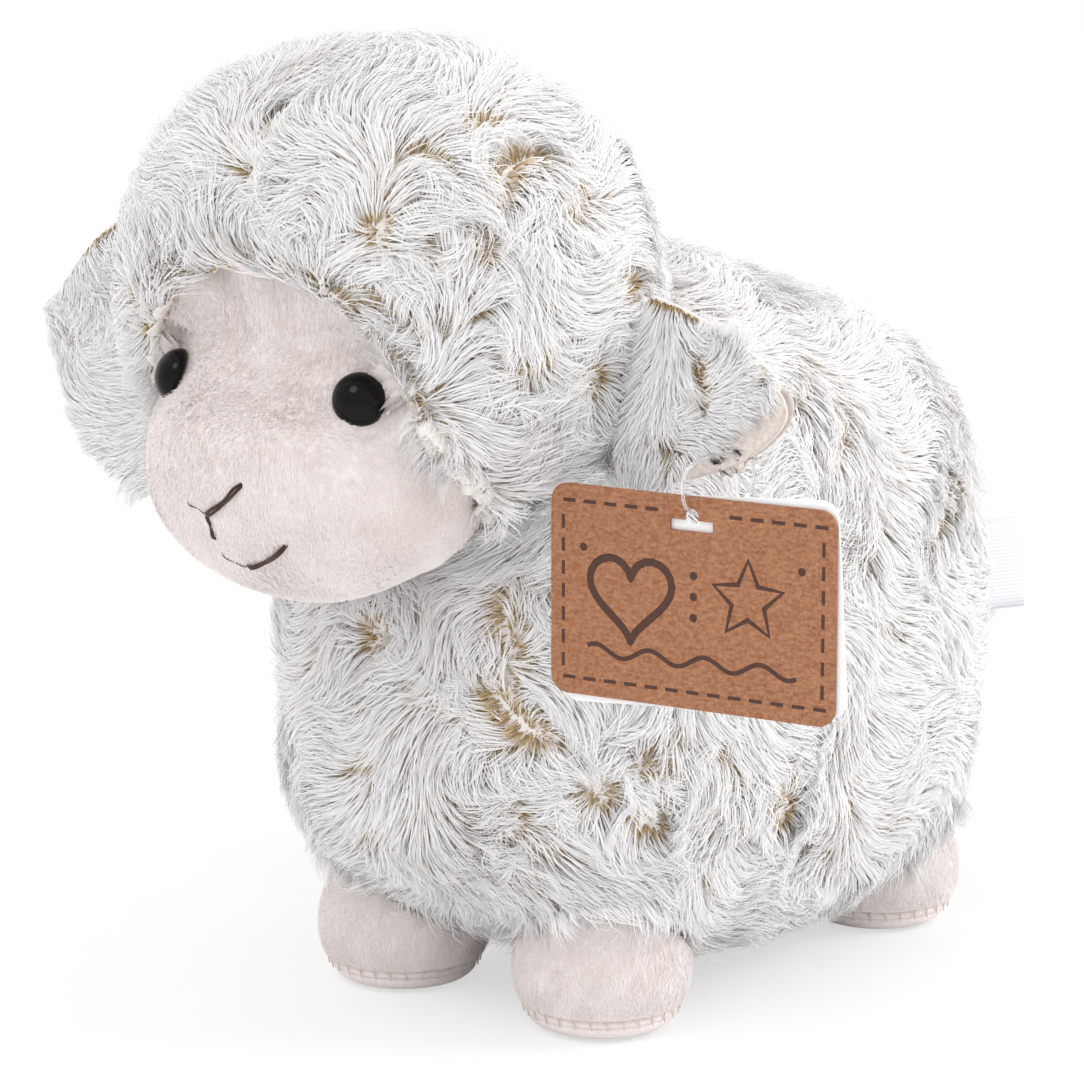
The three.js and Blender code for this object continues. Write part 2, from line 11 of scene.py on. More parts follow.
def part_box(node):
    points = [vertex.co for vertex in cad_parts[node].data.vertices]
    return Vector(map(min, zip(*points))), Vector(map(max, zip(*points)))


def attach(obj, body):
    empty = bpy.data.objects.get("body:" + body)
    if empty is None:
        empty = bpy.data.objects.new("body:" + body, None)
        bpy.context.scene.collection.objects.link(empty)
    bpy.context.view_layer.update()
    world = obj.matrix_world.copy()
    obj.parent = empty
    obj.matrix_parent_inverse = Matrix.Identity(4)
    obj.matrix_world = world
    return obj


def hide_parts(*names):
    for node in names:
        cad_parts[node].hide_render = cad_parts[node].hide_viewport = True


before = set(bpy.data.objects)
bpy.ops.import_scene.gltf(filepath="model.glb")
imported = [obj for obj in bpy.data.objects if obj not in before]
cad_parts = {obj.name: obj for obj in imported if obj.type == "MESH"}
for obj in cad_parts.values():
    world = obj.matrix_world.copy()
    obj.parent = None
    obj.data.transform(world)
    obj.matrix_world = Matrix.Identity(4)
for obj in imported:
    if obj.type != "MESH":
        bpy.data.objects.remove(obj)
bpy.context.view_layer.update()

# Camera: a long lens one metre away, round to the sheep's left and a little above its back.
# It comes first because some partings of the fur are placed by where they show in the view.
MM = 0.001
VIEW_AZIMUTH, VIEW_ELEVATION = math.radians(38.9), math.radians(11.3)
VIEW_TARGET = Vector((-25.99, -9.91, 100.8)) * MM
VIEW_DISTANCE = 1.0
VIEW_SIDE, VIEW_FOCUS = 1084, 4135  # pixels
SENSOR_WIDTH = 36
towards_camera = Vector((
    math.sin(VIEW_AZIMUTH) * math.cos(VIEW_ELEVATION),
    -math.cos(VIEW_AZIMUTH) * math.cos(VIEW_ELEVATION),
    math.sin(VIEW_ELEVATION),
))
camera_data = bpy.data.cameras.new("studio_camera")
camera_data.sensor_width = SENSOR_WIDTH
camera_data.lens = SENSOR_WIDTH * VIEW_FOCUS / VIEW_SIDE
camera = bpy.data.objects.new("studio_camera", camera_data)
camera.location = VIEW_TARGET + towards_camera * VIEW_DISTANCE
camera.rotation_euler = towards_camera.to_track_quat("Z", "Y").to_euler()
bpy.context.scene.collection.objects.link(camera)
bpy.context.scene.camera = camera
view_right, view_up, _ = camera.rotation_euler.to_matrix().transposed()


def in_view(degrees):
    """The direction in space that points at an angle on the picture, from its right, anticlockwise."""
    turn = math.radians(degrees)
    return view_right * math.cos(turn) + view_up * math.sin(turn)


def sight_line(column, row):
    """The direction from the camera through a point of the picture."""
    half = VIEW_SIDE / 2
    across, up = (column - half) / VIEW_FOCUS, (half - row) / VIEW_FOCUS
    return (view_right * across + view_up * up - towards_camera).normalized()


# Studio: an even white room, a soft round lamp high on the left of the view and one to its right,
# and a pale matt floor that keeps the toy's shadow.
ROOM_LIGHT = 1.06
LAMP_SIZE, LAMP_DISTANCE = 0.6, 1.5
LAMPS = (  # the way from the toy as right, up and near in the view, and watts
    ("key_lamp", (-0.3, 0.62, 0.72), 3.0),
    ("side_lamp", (0.85, 0.45, 0.2), 7.0),
)
FLOOR_SIZE = 14.0


def srgb(code, alpha=1.0):
    """A colour written as sRGB hex, as the linear values that the shaders take."""
    parts = [int(code[i:i + 2], 16) / 255 for i in (1, 3, 5)]
    return [c / 12.92 if c <= 0.04045 else ((c + 0.055) / 1.055) ** 2.4 for c in parts] + [alpha]


def add_node(tree, kind, inputs=None, **settings):
    """Adds a node with its settings, its fixed inputs and its links."""
    node = tree.nodes.new(kind)
    for name, value in settings.items():
        setattr(node, name, value)
    for name, value in (inputs or {}).items():
        if isinstance(value, bpy.types.NodeSocket):
            tree.links.new(value, node.inputs[name])
        else:
            node.inputs[name].default_value = value
    return node


room = bpy.data.worlds.new("white_room")
room.use_nodes = True
room.node_tree.nodes.clear()
path = add_node(room.node_tree, "ShaderNodeLightPath")
seen = add_node(
    room.node_tree, "ShaderNodeMath", {0: path.outputs["Is Camera Ray"], 1: path.outputs["Is Glossy Ray"]},
    operation="MAXIMUM",
)
level = add_node(
    room.node_tree, "ShaderNodeMapRange", {"Value": seen.outputs[0], "To Min": ROOM_LIGHT, "To Max": 1.0},
)
light = add_node(
    room.node_tree, "ShaderNodeBackground", {"Color": srgb("#FFFFFF"), "Strength": level.outputs[0]}
)
add_node(room.node_tree, "ShaderNodeOutputWorld", {"Surface": light.outputs[0]})
bpy.context.scene.world = room
bpy.context.scene.view_settings.view_transform = "Standard"

for name, (right, up, near), power in LAMPS:
    lamp_data = bpy.data.lights.new(name, "AREA")
    lamp_data.shape, lamp_data.size, lamp_data.energy = "DISK", LAMP_SIZE, power
    lamp = bpy.data.objects.new(name, lamp_data)
    lamp_side = (view_right * right + view_up * up + towards_camera * near).normalized()
    lamp.location = VIEW_TARGET + lamp_side * LAMP_DISTANCE
    lamp.rotation_euler = lamp_side.to_track_quat("Z", "Y").to_euler()
    bpy.context.scene.collection.objects.link(lamp)


def new_material(name, roughness, **sockets):
    """An empty Principled material, with its shader and its Object coordinates."""
    material = bpy.data.materials.new(name)
    material.use_nodes = True
    tree = material.node_tree
    shader = tree.nodes["Principled BSDF"]
    shader.inputs["Roughness"].default_value = roughness
    for socket, value in sockets.items():
        shader.inputs[socket.replace("_", " ")].default_value = value
    return material, tree, shader, add_node(tree, "ShaderNodeTexCoord").outputs["Object"]


floor_material, tree, shader, _ = new_material("matt_paper_floor", 0.9)
shader.inputs["Base Color"].default_value = srgb("#FAFAFA")
glow = add_node(tree, "ShaderNodeEmission", {"Color": srgb("#FFFFFF"), "Strength": 1.0})
path = add_node(tree, "ShaderNodeLightPath")
share = add_node(tree, "ShaderNodeMath", {0: path.outputs["Is Camera Ray"], 1: 0.6}, operation="MULTIPLY")
mixed = add_node(
    tree, "ShaderNodeMixShader", {0: share.outputs[0], 1: shader.outputs[0], 2: glow.outputs[0]}
)
tree.links.new(mixed.outputs[0], tree.nodes["Material Output"].inputs["Surface"])
floor_mesh = bmesh.new()
bmesh.ops.create_grid(floor_mesh, x_segments=1, y_segments=1, size=FLOOR_SIZE / 2)


def picture_places(points):
    """The columns and rows at which points show in the picture."""
    seen_from = points - np.array(camera.location)
    depth = -seen_from @ np.array(towards_camera)
    half = VIEW_SIDE / 2
    columns = half + VIEW_FOCUS * (seen_from @ np.array(view_right)) / depth
    return columns, half - VIEW_FOCUS * (seen_from @ np.array(view_up)) / depth


def new_piece(name, mesh, material):
    """Puts a bmesh into the scene as an object of one material, with smooth shading."""
    data = bpy.data.meshes.new(name)
    mesh.to_mesh(data)
    mesh.free()
    data.materials.append(material)
    data.shade_smooth()
    piece = bpy.data.objects.new(name, data)
    bpy.context.scene.collection.objects.link(piece)
    return piece


floor = new_piece("floor", floor_mesh, floor_material)

# Body: a barrel of long-pile fur cloth, stuffed with fibre and open where the neck and feet join.
# The pile is about 12 mm of fine acrylic fibre, white with tan roots, brushed into swirls, so the
# tan shows only where the pile parts. Cloth and pile are separate pieces.
PILE_INSET = 4.2 * MM  # how far the cloth lies inside the tips of the pile
PILE_TRIM = 2.2 * MM  # how far a tip stands out of the brushed surface
CLOTH_THICKNESS = 2 * MM
FUR_TRIANGLES = 195000  # at most, in one piece of pile
MERGED = 0.01 * MM  # vertices nearer than this are one
BODY_FIBRES = 150000


def squared(mesh):
    """Joins a mesh's triangles into quads."""
    bmesh.ops.join_triangles(
        mesh, faces=mesh.faces[:], angle_face_threshold=math.radians(40), angle_shape_threshold=math.radians(60)
    )


def kd_tree(points):
    """A balanced tree of points, numbered in their order."""
    points_tree = KDTree(len(points))
    for index, point in enumerate(points):
        points_tree.insert(point, index)
    points_tree.balance()
    return points_tree


def store(data, field, values, kind=np.float32):
    """Writes an array to a field of a mesh's vertices, corners, faces or map."""
    data.foreach_set(field, values.astype(kind).ravel())


def cad_copy(node):
    """A merged copy of a CAD solid."""
    copy = bmesh.new()
    copy.from_mesh(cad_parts[node].data)
    bmesh.ops.remove_doubles(copy, verts=copy.verts, dist=MERGED)
    return copy


def outer_wall(node, filling, depth, reading=np.mean):
    """The outside of a hollow CAD cover as a sheet of quads: what lies further than depth from its filling.

    A face's distance is read from its corners: their mean, their max, which keeps the cut edge of the
    cover, or their min, which drops it.
    """
    core = BVHTree.FromBMesh(cad_copy(filling))
    wall = cad_copy(node)
    apart = {v: core.find_nearest(v.co)[3] for v in wall.verts}
    inside = [f for f in wall.faces if reading([apart[v] for v in f.verts]) < depth]
    bmesh.ops.delete(wall, geom=inside, context="FACES")
    squared(wall)
    return wall


def smoothed(name, mesh, material, levels, inset, seam=None, fade=6 * MM):
    """A piece of cloth: the sheet subdivided to a smooth form and drawn in from the tips of its pile.

    Where it is sewn to another, along the points of a seam, it isn't drawn in.
    """
    piece = new_piece(name, mesh, material)
    rounding = piece.modifiers.new("rounding", "SUBSURF")
    rounding.levels = rounding.render_levels = levels
    evaluated = piece.evaluated_get(bpy.context.evaluated_depsgraph_get())
    piece.data = bpy.data.meshes.new_from_object(evaluated)
    piece.modifiers.clear()
    shape = bmesh.new()
    shape.from_mesh(piece.data)
    shape.normal_update()
    for vertex in shape.verts:
        gap = seam.find(vertex.co)[2] if seam else fade
        vertex.co -= vertex.normal * inset * min(1.0, gap / fade)
    shape.to_mesh(piece.data)
    shape.free()
    piece.data.shade_smooth()
    return piece


def kept_inside(piece, form, depth, seam=None, fade=6 * MM):
    """Moves a cloth in to lie at a depth below a CAD form, but for where it is sewn along a seam."""
    for vertex in piece.data.vertices:
        place, normal, _, _ = form.find_nearest(vertex.co)
        share = min(1.0, seam.find(vertex.co)[2] / fade) if seam else 1.0
        excess = (vertex.co - place).dot(normal) + depth * share
        if excess > 0:
            vertex.co -= normal * excess * share
    piece.data.update()


def lined(piece, thickness):
    """Gives a sheet of cloth its thickness, inwards."""
    wall = piece.modifiers.new("thickness", "SOLIDIFY")
    wall.thickness, wall.offset = thickness, -1


def between(tree, shader, share, tones, span=(0.0, 1.0)):
    """Colours a shader between two tones, by a share over a span."""
    mix = add_node(tree, "ShaderNodeValToRGB", {"Fac": share})
    for stop, position, code in zip(mix.color_ramp.elements, span, tones):
        stop.position, stop.color = position, srgb(code)
    tree.links.new(mix.outputs[0], shader.inputs["Base Color"])


def relief(tree, shader, height, distance, strength):
    """Raises the surface of a shader by a height."""
    bump = add_node(tree, "ShaderNodeBump", {"Height": height, "Distance": distance, "Strength": strength})
    tree.links.new(bump.outputs[0], shader.inputs["Normal"])


def speckled(name, roughness, scale, detail, tones, span=(0.0, 1.0), **sockets):
    """A material mottled between two tones by fine noise, with its tree, shader and noise."""
    material, tree, shader, place = new_material(name, roughness, **sockets)
    noise = add_node(tree, "ShaderNodeTexNoise", {"Vector": place, "Scale": scale, "Detail": detail})
    between(tree, shader, noise.outputs["Fac"], tones, span)
    return material, tree, shader, noise.outputs["Fac"]


# Knitted fur backing: matt pale acrylic knit, seen only on the floor of a parting and at a cut edge.
backing, tree, shader, mottle = speckled(
    "tan_fur_backing", 0.95, 900.0, 3.0, ("#E9E3DB", "#FAF7F4"), (0.3, 0.7), Specular_IOR_Level=0.1
)
relief(tree, shader, mottle, 0.4 * MM, 0.7)

# Tipped acrylic pile: satin fibres, olive tan for the first third and frosted white to the tip, with painted
# shade that makes the very root darker than the tan. Across the map is how far the tan climbs a fibre, and up
# the map is the way along it.
pile, tree, shader, _ = new_material(
    "tipped_acrylic_pile", 0.6, Specular_IOR_Level=0.25, Sheen_Weight=0.35, Sheen_Roughness=0.4
)
along = add_node(
    tree, "ShaderNodeSeparateXYZ", {"Vector": add_node(tree, "ShaderNodeUVMap", uv_map="OFBake").outputs[0]}
)
climb = add_node(tree, "ShaderNodeMath", {0: along.outputs["X"], 1: -2.5, 2: 2.85}, operation="MULTIPLY_ADD")
reach = add_node(tree, "ShaderNodeMath", {0: along.outputs["Y"], 1: climb.outputs[0]}, operation="MULTIPLY")
tan_dye_and_root_shade = add_node(tree, "ShaderNodeValToRGB", {"Fac": reach.outputs[0]})
# The first stop, at the root of every fibre, is darker than the tan dye: painted shade deep in the pile, over
# the real tan.
for position, code in (
    (0.0, "#A1835A"), (0.16, "#BF9F6C"), (0.3, "#DAC49C"), (0.42, "#F0E9DE"), (0.54, "#FDFCFC"),
):
    stop = tan_dye_and_root_shade.color_ramp.elements.new(position)
    stop.color = srgb(code)
tan_dye_and_root_shade.color_ramp.elements.remove(tan_dye_and_root_shade.color_ramp.elements[-1])
tan_dye_and_root_shade.color_ramp.elements.remove(tan_dye_and_root_shade.color_ramp.elements[0])
strand = add_node(tree, "ShaderNodeTexWhiteNoise", {"W": along.outputs["X"]}, noise_dimensions="1D")
shade = add_node(tree, "ShaderNodeMapRange", {"Value": strand.outputs["Value"], "To Min": 0.93, "To Max": 1.0})
fibre_colour = add_node(tree, "ShaderNodeHueSaturation", {"Color": tan_dye_and_root_shade.outputs[0], "Value": shade.outputs[0]})
tree.links.new(fibre_colour.outputs[0], shader.inputs["Base Color"])
through = add_node(tree, "ShaderNodeBsdfTranslucent", {"Color": fibre_colour.outputs[0]})
mixed = add_node(tree, "ShaderNodeMixShader", {0: 0.18, 1: shader.outputs[0], 2: through.outputs[0]})
tree.links.new(mixed.outputs[0], tree.nodes["Material Output"].inputs["Surface"])


def unit(vectors):
    return vectors / np.maximum(np.linalg.norm(vectors, axis=1, keepdims=True), 1e-9)


def on_surface(vectors, normals):
    """The part of each direction that lies along the cloth, at unit length."""
    return unit(vectors - normals * (vectors * normals).sum(1, keepdims=True))


def waves(points, wavelength, seed, count=8):
    """A smooth field, mostly between -1 and 1, that turns over about once in a wavelength."""
    draw = np.random.default_rng(seed)
    headings = unit(draw.normal(size=(count, 3))) * draw.uniform(0.7, 1.3, (count, 1)) / wavelength
    phases = draw.uniform(0, 2 * math.pi, count)
    return np.sin(points @ headings.T * 2 * math.pi + phases).sum(1) * math.sqrt(2 / count)


def scatter(piece, count, draw):
    """Points spread evenly over a piece of cloth, with its smooth normals there."""
    data = piece.data
    data.calc_loop_triangles()
    corners = np.zeros(len(data.loop_triangles) * 3, np.int32)
    data.loop_triangles.foreach_get("vertices", corners)
    corners = corners.reshape(-1, 3)
    places, normals = (np.zeros(len(data.vertices) * 3, np.float32) for _ in range(2))
    data.vertices.foreach_get("co", places)
    data.vertices.foreach_get("normal", normals)
    places, normals = places.reshape(-1, 3).astype(float), normals.reshape(-1, 3).astype(float)
    a, b, c = (places[corners[:, i]] for i in range(3))
    areas = np.linalg.norm(np.cross(b - a, c - a), axis=1)
    picked = draw.choice(len(areas), count, p=areas / areas.sum())
    s, t = draw.random((2, count, 1))
    s, t = np.where(s + t > 1, 1 - s, s), np.where(s + t > 1, 1 - t, t)
    weights = (1 - s - t, s, t)
    spots = sum(places[corners[picked, i]] * weights[i] for i in range(3))
    return spots, unit(sum(normals[corners[picked, i]] * weights[i] for i in range(3)))


def seen_partings(piece, marks):
    """Partings put where the view shows them: column, row, the way the lock sweeps, half length and depth."""
    cloth = BVHTree.FromPolygons([v.co for v in piece.data.vertices], [p.vertices for p in piece.data.polygons])
    found = []
    for column, row, sweep, half_length, depth in marks:
        spot, normal, _, _ = cloth.ray_cast(camera.location, sight_line(column, row))
        if spot is not None:
            way = np.array(in_view(sweep))
            found.append((np.array(spot), np.array(normal), way, 0.8 * half_length * MM, depth))
    return found


def chance_partings(spots, normals, sweeps, spacing, draw, taken):
    """Partings spread over the rest of the cloth, none nearer another than the spacing."""
    found, centres = [], [p[0] for p in taken]
    for i in draw.permutation(len(spots))[:1500]:
        if all(np.linalg.norm(spots[i] - c) > spacing for c in centres):
            centres.append(spots[i])
            found.append((spots[i], normals[i], sweeps[i], draw.uniform(2, 5) * MM, draw.uniform(0.1, 0.55)))
    return found


SOFTNESS = 0.75  # how far a fibre is shaded as the surface of the pile, not as a flat ribbon


def ribbons(name, rows, side, facing, width, tones, taper, shares, material, body):
    """Fibres as flat ribbons that narrow to a point, as pieces name_1 and on, which it returns.

    The map holds each fibre's tone across and the way along it up, for the fibre materials. Their
    normals lean to the way that the cloth faces, as a mass of fine fibres is shaded.
    """
    face_on = unit(np.cross(side, rows[-1] - rows[0]))
    shading = unit(facing * SOFTNESS + face_on * (1 - SOFTNESS))
    pieces = []
    steps = len(rows) - 1
    pattern, across, up = [], [], []
    for k in range(steps - 1):
        pattern += [2 * k, 2 * k + 1, 2 * k + 3, 2 * k + 2]
        across += [0, 1, 1, 0]
        up += [k, k, k + 1, k + 1]
    pattern += [2 * steps - 2, 2 * steps - 1, 2 * steps]
    across += [0, 1, 0.5]
    up += [steps - 1, steps - 1, steps]
    firsts = [4 * k for k in range(steps)]
    order = np.argsort(rows[0][:, 1])
    per_piece = FUR_TRIANGLES // (2 * steps - 1)
    for number, chosen in enumerate(np.array_split(order, -(-len(order) // per_piece)), 1):
        n = len(chosen)
        half = side[chosen] * (width[chosen] / 2)[:, None]
        points = np.empty((n, 2 * steps + 1, 3))
        for k in range(steps):
            points[:, 2 * k] = rows[k][chosen] - half * taper[k]
            points[:, 2 * k + 1] = rows[k][chosen] + half * taper[k]
        points[:, 2 * steps] = rows[steps][chosen]
        data = bpy.data.meshes.new(f"{name}_{number}")
        data.vertices.add(n * (2 * steps + 1))
        store(data.vertices, "co", points)
        corners = np.arange(n)[:, None] * (2 * steps + 1) + np.array(pattern)
        data.loops.add(corners.size)
        store(data.loops, "vertex_index", corners, np.int32)
        starts = np.arange(n)[:, None] * len(pattern) + np.array(firsts)
        data.polygons.add(starts.size)
        store(data.polygons, "loop_start", starts, np.int32)
        chart = data.uv_layers.new(name="OFBake")
        places = np.empty((n, len(pattern), 2))
        places[:, :, 0] = tones[chosen][:, None] + np.array(across) * 0.012
        places[:, :, 1] = np.clip(np.array(shares)[up], 0.004, 0.996)
        store(chart.data, "uv", places)
        data.update(calc_edges=True)
        data.materials.append(material)
        data.shade_smooth()
        leaning = data.attributes.new("custom_normal", "FLOAT_VECTOR", "POINT")
        store(leaning.data, "vector", np.repeat(shading[chosen], 2 * steps + 1, axis=0))
        piece = bpy.data.objects.new(f"{name}_{number}", data)
        bpy.context.scene.collection.objects.link(piece)
        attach(piece, body)
        pieces.append(piece)
    return pieces


def trimmed(rows, shares, form, trims):
    """Brings in the fibres whose tips stand too far out of a form, the tip by most."""
    push = np.zeros_like(rows[-1])
    for i, tip in enumerate(rows[-1].tolist()):
        place, normal, _, _ = form.find_nearest(tip)
        excess = (Vector(tip) - place).dot(normal) - trims[i]
        if excess > 0:
            push[i] = normal * excess
    return [row - push * share ** 1.4 for row, share in zip(rows, shares)]


EYE_AIM = math.radians(50)
EYE_CLEARANCE = 7.0 * MM
EYE_BEHIND, EYE_AHEAD = 8 * MM, 25 * MM  # along the eye's axis
LOCK_FIBRES = 26
PARTING_REACH = 22 * MM
BROAD_SWIRL, FINE_SWIRL, CURL_SPAN, TAN_SPAN = 60 * MM, 24 * MM, 33 * MM, 28 * MM  # wavelengths over the cloth
FIBRE_WIDTHS = (0.24, 0.38)  # mm
eye_axes = [
    ((np.array(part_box(f"eye_{side}")[0]) + np.array(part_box(f"eye_{side}")[1])) / 2,
     np.array((sign * math.sin(EYE_AIM), -math.cos(EYE_AIM), 0)))
    for side, sign in (("left", 1), ("right", -1))
]


def parted_at_eyes(rows):
    """Moves the pile out of the way of the eyes, and says which fibres would still cross them."""
    crossing = np.zeros(len(rows[0]), bool)
    for middle, way in eye_axes:
        for points in rows:
            offset = points - middle
            ahead = offset @ way
            aside = offset - np.outer(ahead, way)
            apart = np.linalg.norm(aside, axis=1)
            near = (apart < EYE_CLEARANCE) & (ahead > -EYE_BEHIND) & (ahead < EYE_AHEAD)
            crossing |= near & (apart < 0.7 * EYE_CLEARANCE)
            points[near] += aside[near] * (EYE_CLEARANCE / apart[near] - 1)[:, None]
    return crossing


def grow_pile(
    name, cloth, body, comb, count, length, seed, form,
    marks=(), clear=None, hem=None, spacing=38 * MM, rise=0.47,
):
    """Covers a cloth with fibres, combed and swirled, gathered in locks, parted and trimmed to a CAD form."""
    draw = np.random.default_rng(seed)
    spots, normals = scatter(cloth, count, draw)
    if clear is not None:
        kept = clear(spots)
        spots, normals = spots[kept], normals[kept]
    flow = on_surface(comb(spots, normals), normals)
    swirl = 0.75 * waves(spots, BROAD_SWIRL, seed + 1) + 0.4 * waves(spots, FINE_SWIRL, seed + 2)

    def turned(ways, angles):
        return ways * np.cos(angles)[:, None] + np.cross(normals, ways) * np.sin(angles)[:, None]

    flow = turned(flow, swirl)
    curl = 0.55 * waves(spots, CURL_SPAN, seed + 3)
    tan = 0.06 + 0.07 * waves(spots, TAN_SPAN, seed + 4)
    lift = np.ones(len(spots))

    seen = seen_partings(cloth, marks)
    partings = seen + chance_partings(spots, normals, flow, spacing, draw, seen)
    for centre, facing, sweep, half_length, depth in partings:
        sweep = sweep - facing * (sweep @ facing)
        sweep = sweep / max(np.linalg.norm(sweep), 1e-9)
        line = np.cross(facing, sweep)
        near = np.flatnonzero((((spots - centre) ** 2).sum(1) < PARTING_REACH ** 2) & (normals @ facing > 0.2))
        offset = spots[near] - centre
        length_share = (offset @ line) / half_length
        ahead = offset @ sweep + 0.22 * half_length * length_share ** 2
        within = np.clip(1.7 - np.abs(length_share), 0, 1)
        before = ahead > 0
        pull = within * np.where(before, np.exp(-(ahead / (10 * MM)) ** 2), np.exp(-(ahead / (4.5 * MM)) ** 2))
        fan = sweep + line * 0.45 * np.clip(length_share, -1.5, 1.5)[:, None]
        aim = np.where(before[:, None], fan, -0.3 * sweep - 0.7 * line)
        mixed_flow = flow[near] * (1 - pull[:, None]) + aim * pull[:, None]
        flow[near] = on_surface(mixed_flow, normals[near])
        bare = within * np.where(before, np.exp(-(ahead / (5 * MM)) ** 2), np.exp(-(ahead / (2.5 * MM)) ** 2))
        tan[near] = np.maximum(tan[near], 0.12 + 0.62 * depth * bare)
        lift[near] *= 1 - 0.35 * depth * np.exp(-(ahead / (4 * MM)) ** 2) * within

    hang = np.zeros(len(spots))
    if hem is not None:
        hang, stand = hem(spots, normals)
        lift *= stand
        tan = tan * np.minimum(1.0, stand)
    size = length * draw.uniform(0.78, 1.15, len(spots))
    upright = size * rise * lift * draw.uniform(0.75, 1.25, len(spots))
    flow = turned(flow, draw.normal(0, 0.13, len(spots)))
    shares = np.array((0.0, 0.34, 0.68, 1.0))
    rows = []
    for share in shares:
        heading = turned(flow, curl * share * 1.2)
        forward = size * 0.86 * share ** 1.15
        height = upright * (1 - (1 - share) ** 2) - 0.1 * size * share ** 3
        rows.append(spots + heading * forward[:, None] + normals * height[:, None])

    locks = kd_tree(spots[:max(1, len(spots) // LOCK_FIBRES)])
    lock = np.array([locks.find(p)[1] for p in spots.tolist()])
    gather = (draw.uniform(0.2, 0.65, len(spots))[lock] * draw.uniform(0.6, 1.2, len(spots)))[:, None]
    tips = rows[-1].copy()
    for k, share in enumerate(shares):
        rows[k] = rows[k] + (tips[lock] - tips) * gather * share ** 1.7

    trims = PILE_TRIM * draw.uniform(0.2, 1.8, len(spots)) + hang
    rows = trimmed(rows, shares, BVHTree.FromBMesh(cad_copy(form)), trims)
    kept = ~parted_at_eyes(rows)
    width = draw.uniform(*FIBRE_WIDTHS, len(spots)) * MM
    roll = draw.normal(0, 0.4, len(spots))
    lie = unit(rows[2] - rows[0])
    side = unit(np.cross(lie, normals))
    side = side * np.cos(roll)[:, None] + np.cross(lie, side) * np.sin(roll)[:, None]
    u = np.clip(tan + draw.normal(0, 0.035, len(spots)), 0.01, 0.97)

    rows = [row[kept] for row in rows]
    return ribbons(
        name, rows, side[kept], normals[kept], width[kept], u[kept], (0.9, 1.0, 0.7), shares, pile, body
    )


legs = [f"leg_{end}_{side}" for end in ("front", "rear") for side in ("left", "right")]
leg_middles = [(np.array(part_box(f"{leg}_sole")[0]) + np.array(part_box(f"{leg}_sole")[1])) / 2 for leg in legs]
HEM_REACH = 27 * MM  # from a leg's axis
HEM_HANG = 7 * MM  # how far the pile hangs over a foot
CLOTH_DEPTH = 2.8 * MM  # at least, below the CAD form


def by_a_leg(points):
    """How near points are to a leg, from 0 to 1, and the way from its axis."""
    offsets = np.stack([points[:, :2] - middle[:2] for middle in leg_middles])
    gaps = np.linalg.norm(offsets, axis=2)
    nearest = gaps.argmin(0)
    picked = np.arange(len(points))
    share = np.clip((HEM_REACH - gaps[nearest, picked]) / (5 * MM), 0, 1) * (points[:, 2] < 45 * MM)
    return share, offsets[nearest, picked] / gaps[nearest, picked][:, None]


def comb_body(points, normals):
    """Down the flanks and back towards the tail, and straight down round the legs."""
    share, apart = by_a_leg(points)
    flanks = np.tile((0.0, 0.55, -0.85), (len(points), 1))
    down = np.column_stack((0.15 * apart, np.full(len(points), -1.0)))
    return flanks * (1 - share)[:, None] + down * share[:, None]


def hem_body(points, _):
    """The pile may hang below the body's own edge over the feet, at its full stand."""
    share, _ = by_a_leg(points)
    return HEM_HANG * share, np.ones(len(points))


BODY_PARTINGS = (
    (509, 612, 170, 10, 0.9), (385, 620, 150, 6, 0.7), (503, 702, 215, 12, 1.0), (428, 686, 240, 4, 0.5),
    (451, 699, 250, 4, 0.6), (590, 777, 190, 5, 0.8), (653, 768, 85, 6, 1.0), (675, 724, -90, 4, 0.7),
    (512, 824, -30, 5, 0.7), (533, 842, -20, 4, 0.4), (377, 758, -50, 6, 0.4), (380, 822, -60, 6, 0.4),
    (642, 812, 200, 6, 0.5), (302, 688, 200, 5, 0.4), (721, 738, -60, 5, 0.6), (737, 819, -30, 5, 0.5),
    (774, 770, 190, 6, 0.8), (776, 800, 190, 5, 0.6), (908, 744, -40, 4, 0.6), (885, 329, 20, 5, 0.6),
    (790, 388, -40, 5, 0.5), (541, 575, -90, 4, 0.5), (834, 434, -20, 5, 0.4), (870, 620, -110, 6, 0.3),
)
body_cloth = smoothed(
    "body_fur_cloth", outer_wall("body_cover", "body_stuffing", 1.2 * MM, min), backing,
    levels=2, inset=PILE_INSET,
)
kept_inside(body_cloth, BVHTree.FromBMesh(cad_copy("body_cover")), CLOTH_DEPTH)
grow_pile(
    "body_pile", body_cloth, "torso", comb_body, BODY_FIBRES, 12.5 * MM, seed=11, form="body_cover",
    marks=BODY_PARTINGS, hem=hem_body,
)
lined(body_cloth, CLOTH_THICKNESS)
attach(body_cloth, "torso")
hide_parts("body_cover", "body_stuffing")

# Hood: the same fur over the head and neck, sewn to the body at the neck and open round the face.
# Its pile is brushed away from the face, so the edge of the cloth stands up round the forehead.
HEAD_FIBRES = 100000
FACE_CENTRE = np.array((-5.13, -140.0, 140.0)) * MM
HAIRLINE_REACH = 14 * MM  # how far from the seam the pile is combed straight out
HAIRLINE_OVAL = ((-5.13, 142.7), (38, 37))  # middle and half sizes of the seam from the front, mm
HEAD_PARTINGS = (
    (391, 320, 40, 9, 1.0), (512, 356, -80, 8, 1.0), (480, 250, -10, 6, 0.6), (373, 251, -30, 5, 0.5),
    (487, 513, -100, 4, 0.7), (460, 537, -60, 5, 0.5), (150, 322, 250, 6, 0.6), (507, 172, 140, 8, 1.0),
    (614, 290, -100, 8, 0.9), (650, 284, -95, 7, 0.9), (251, 161, 200, 6, 0.6), (272, 148, 180, 5, 0.4),
    (424, 161, 60, 5, 0.4), (474, 133, 120, 6, 0.6), (566, 205, -60, 6, 0.5), (577, 380, -90, 5, 0.6),
    (440, 260, 200, 5, 0.4), (330, 205, 160, 5, 0.4),
)
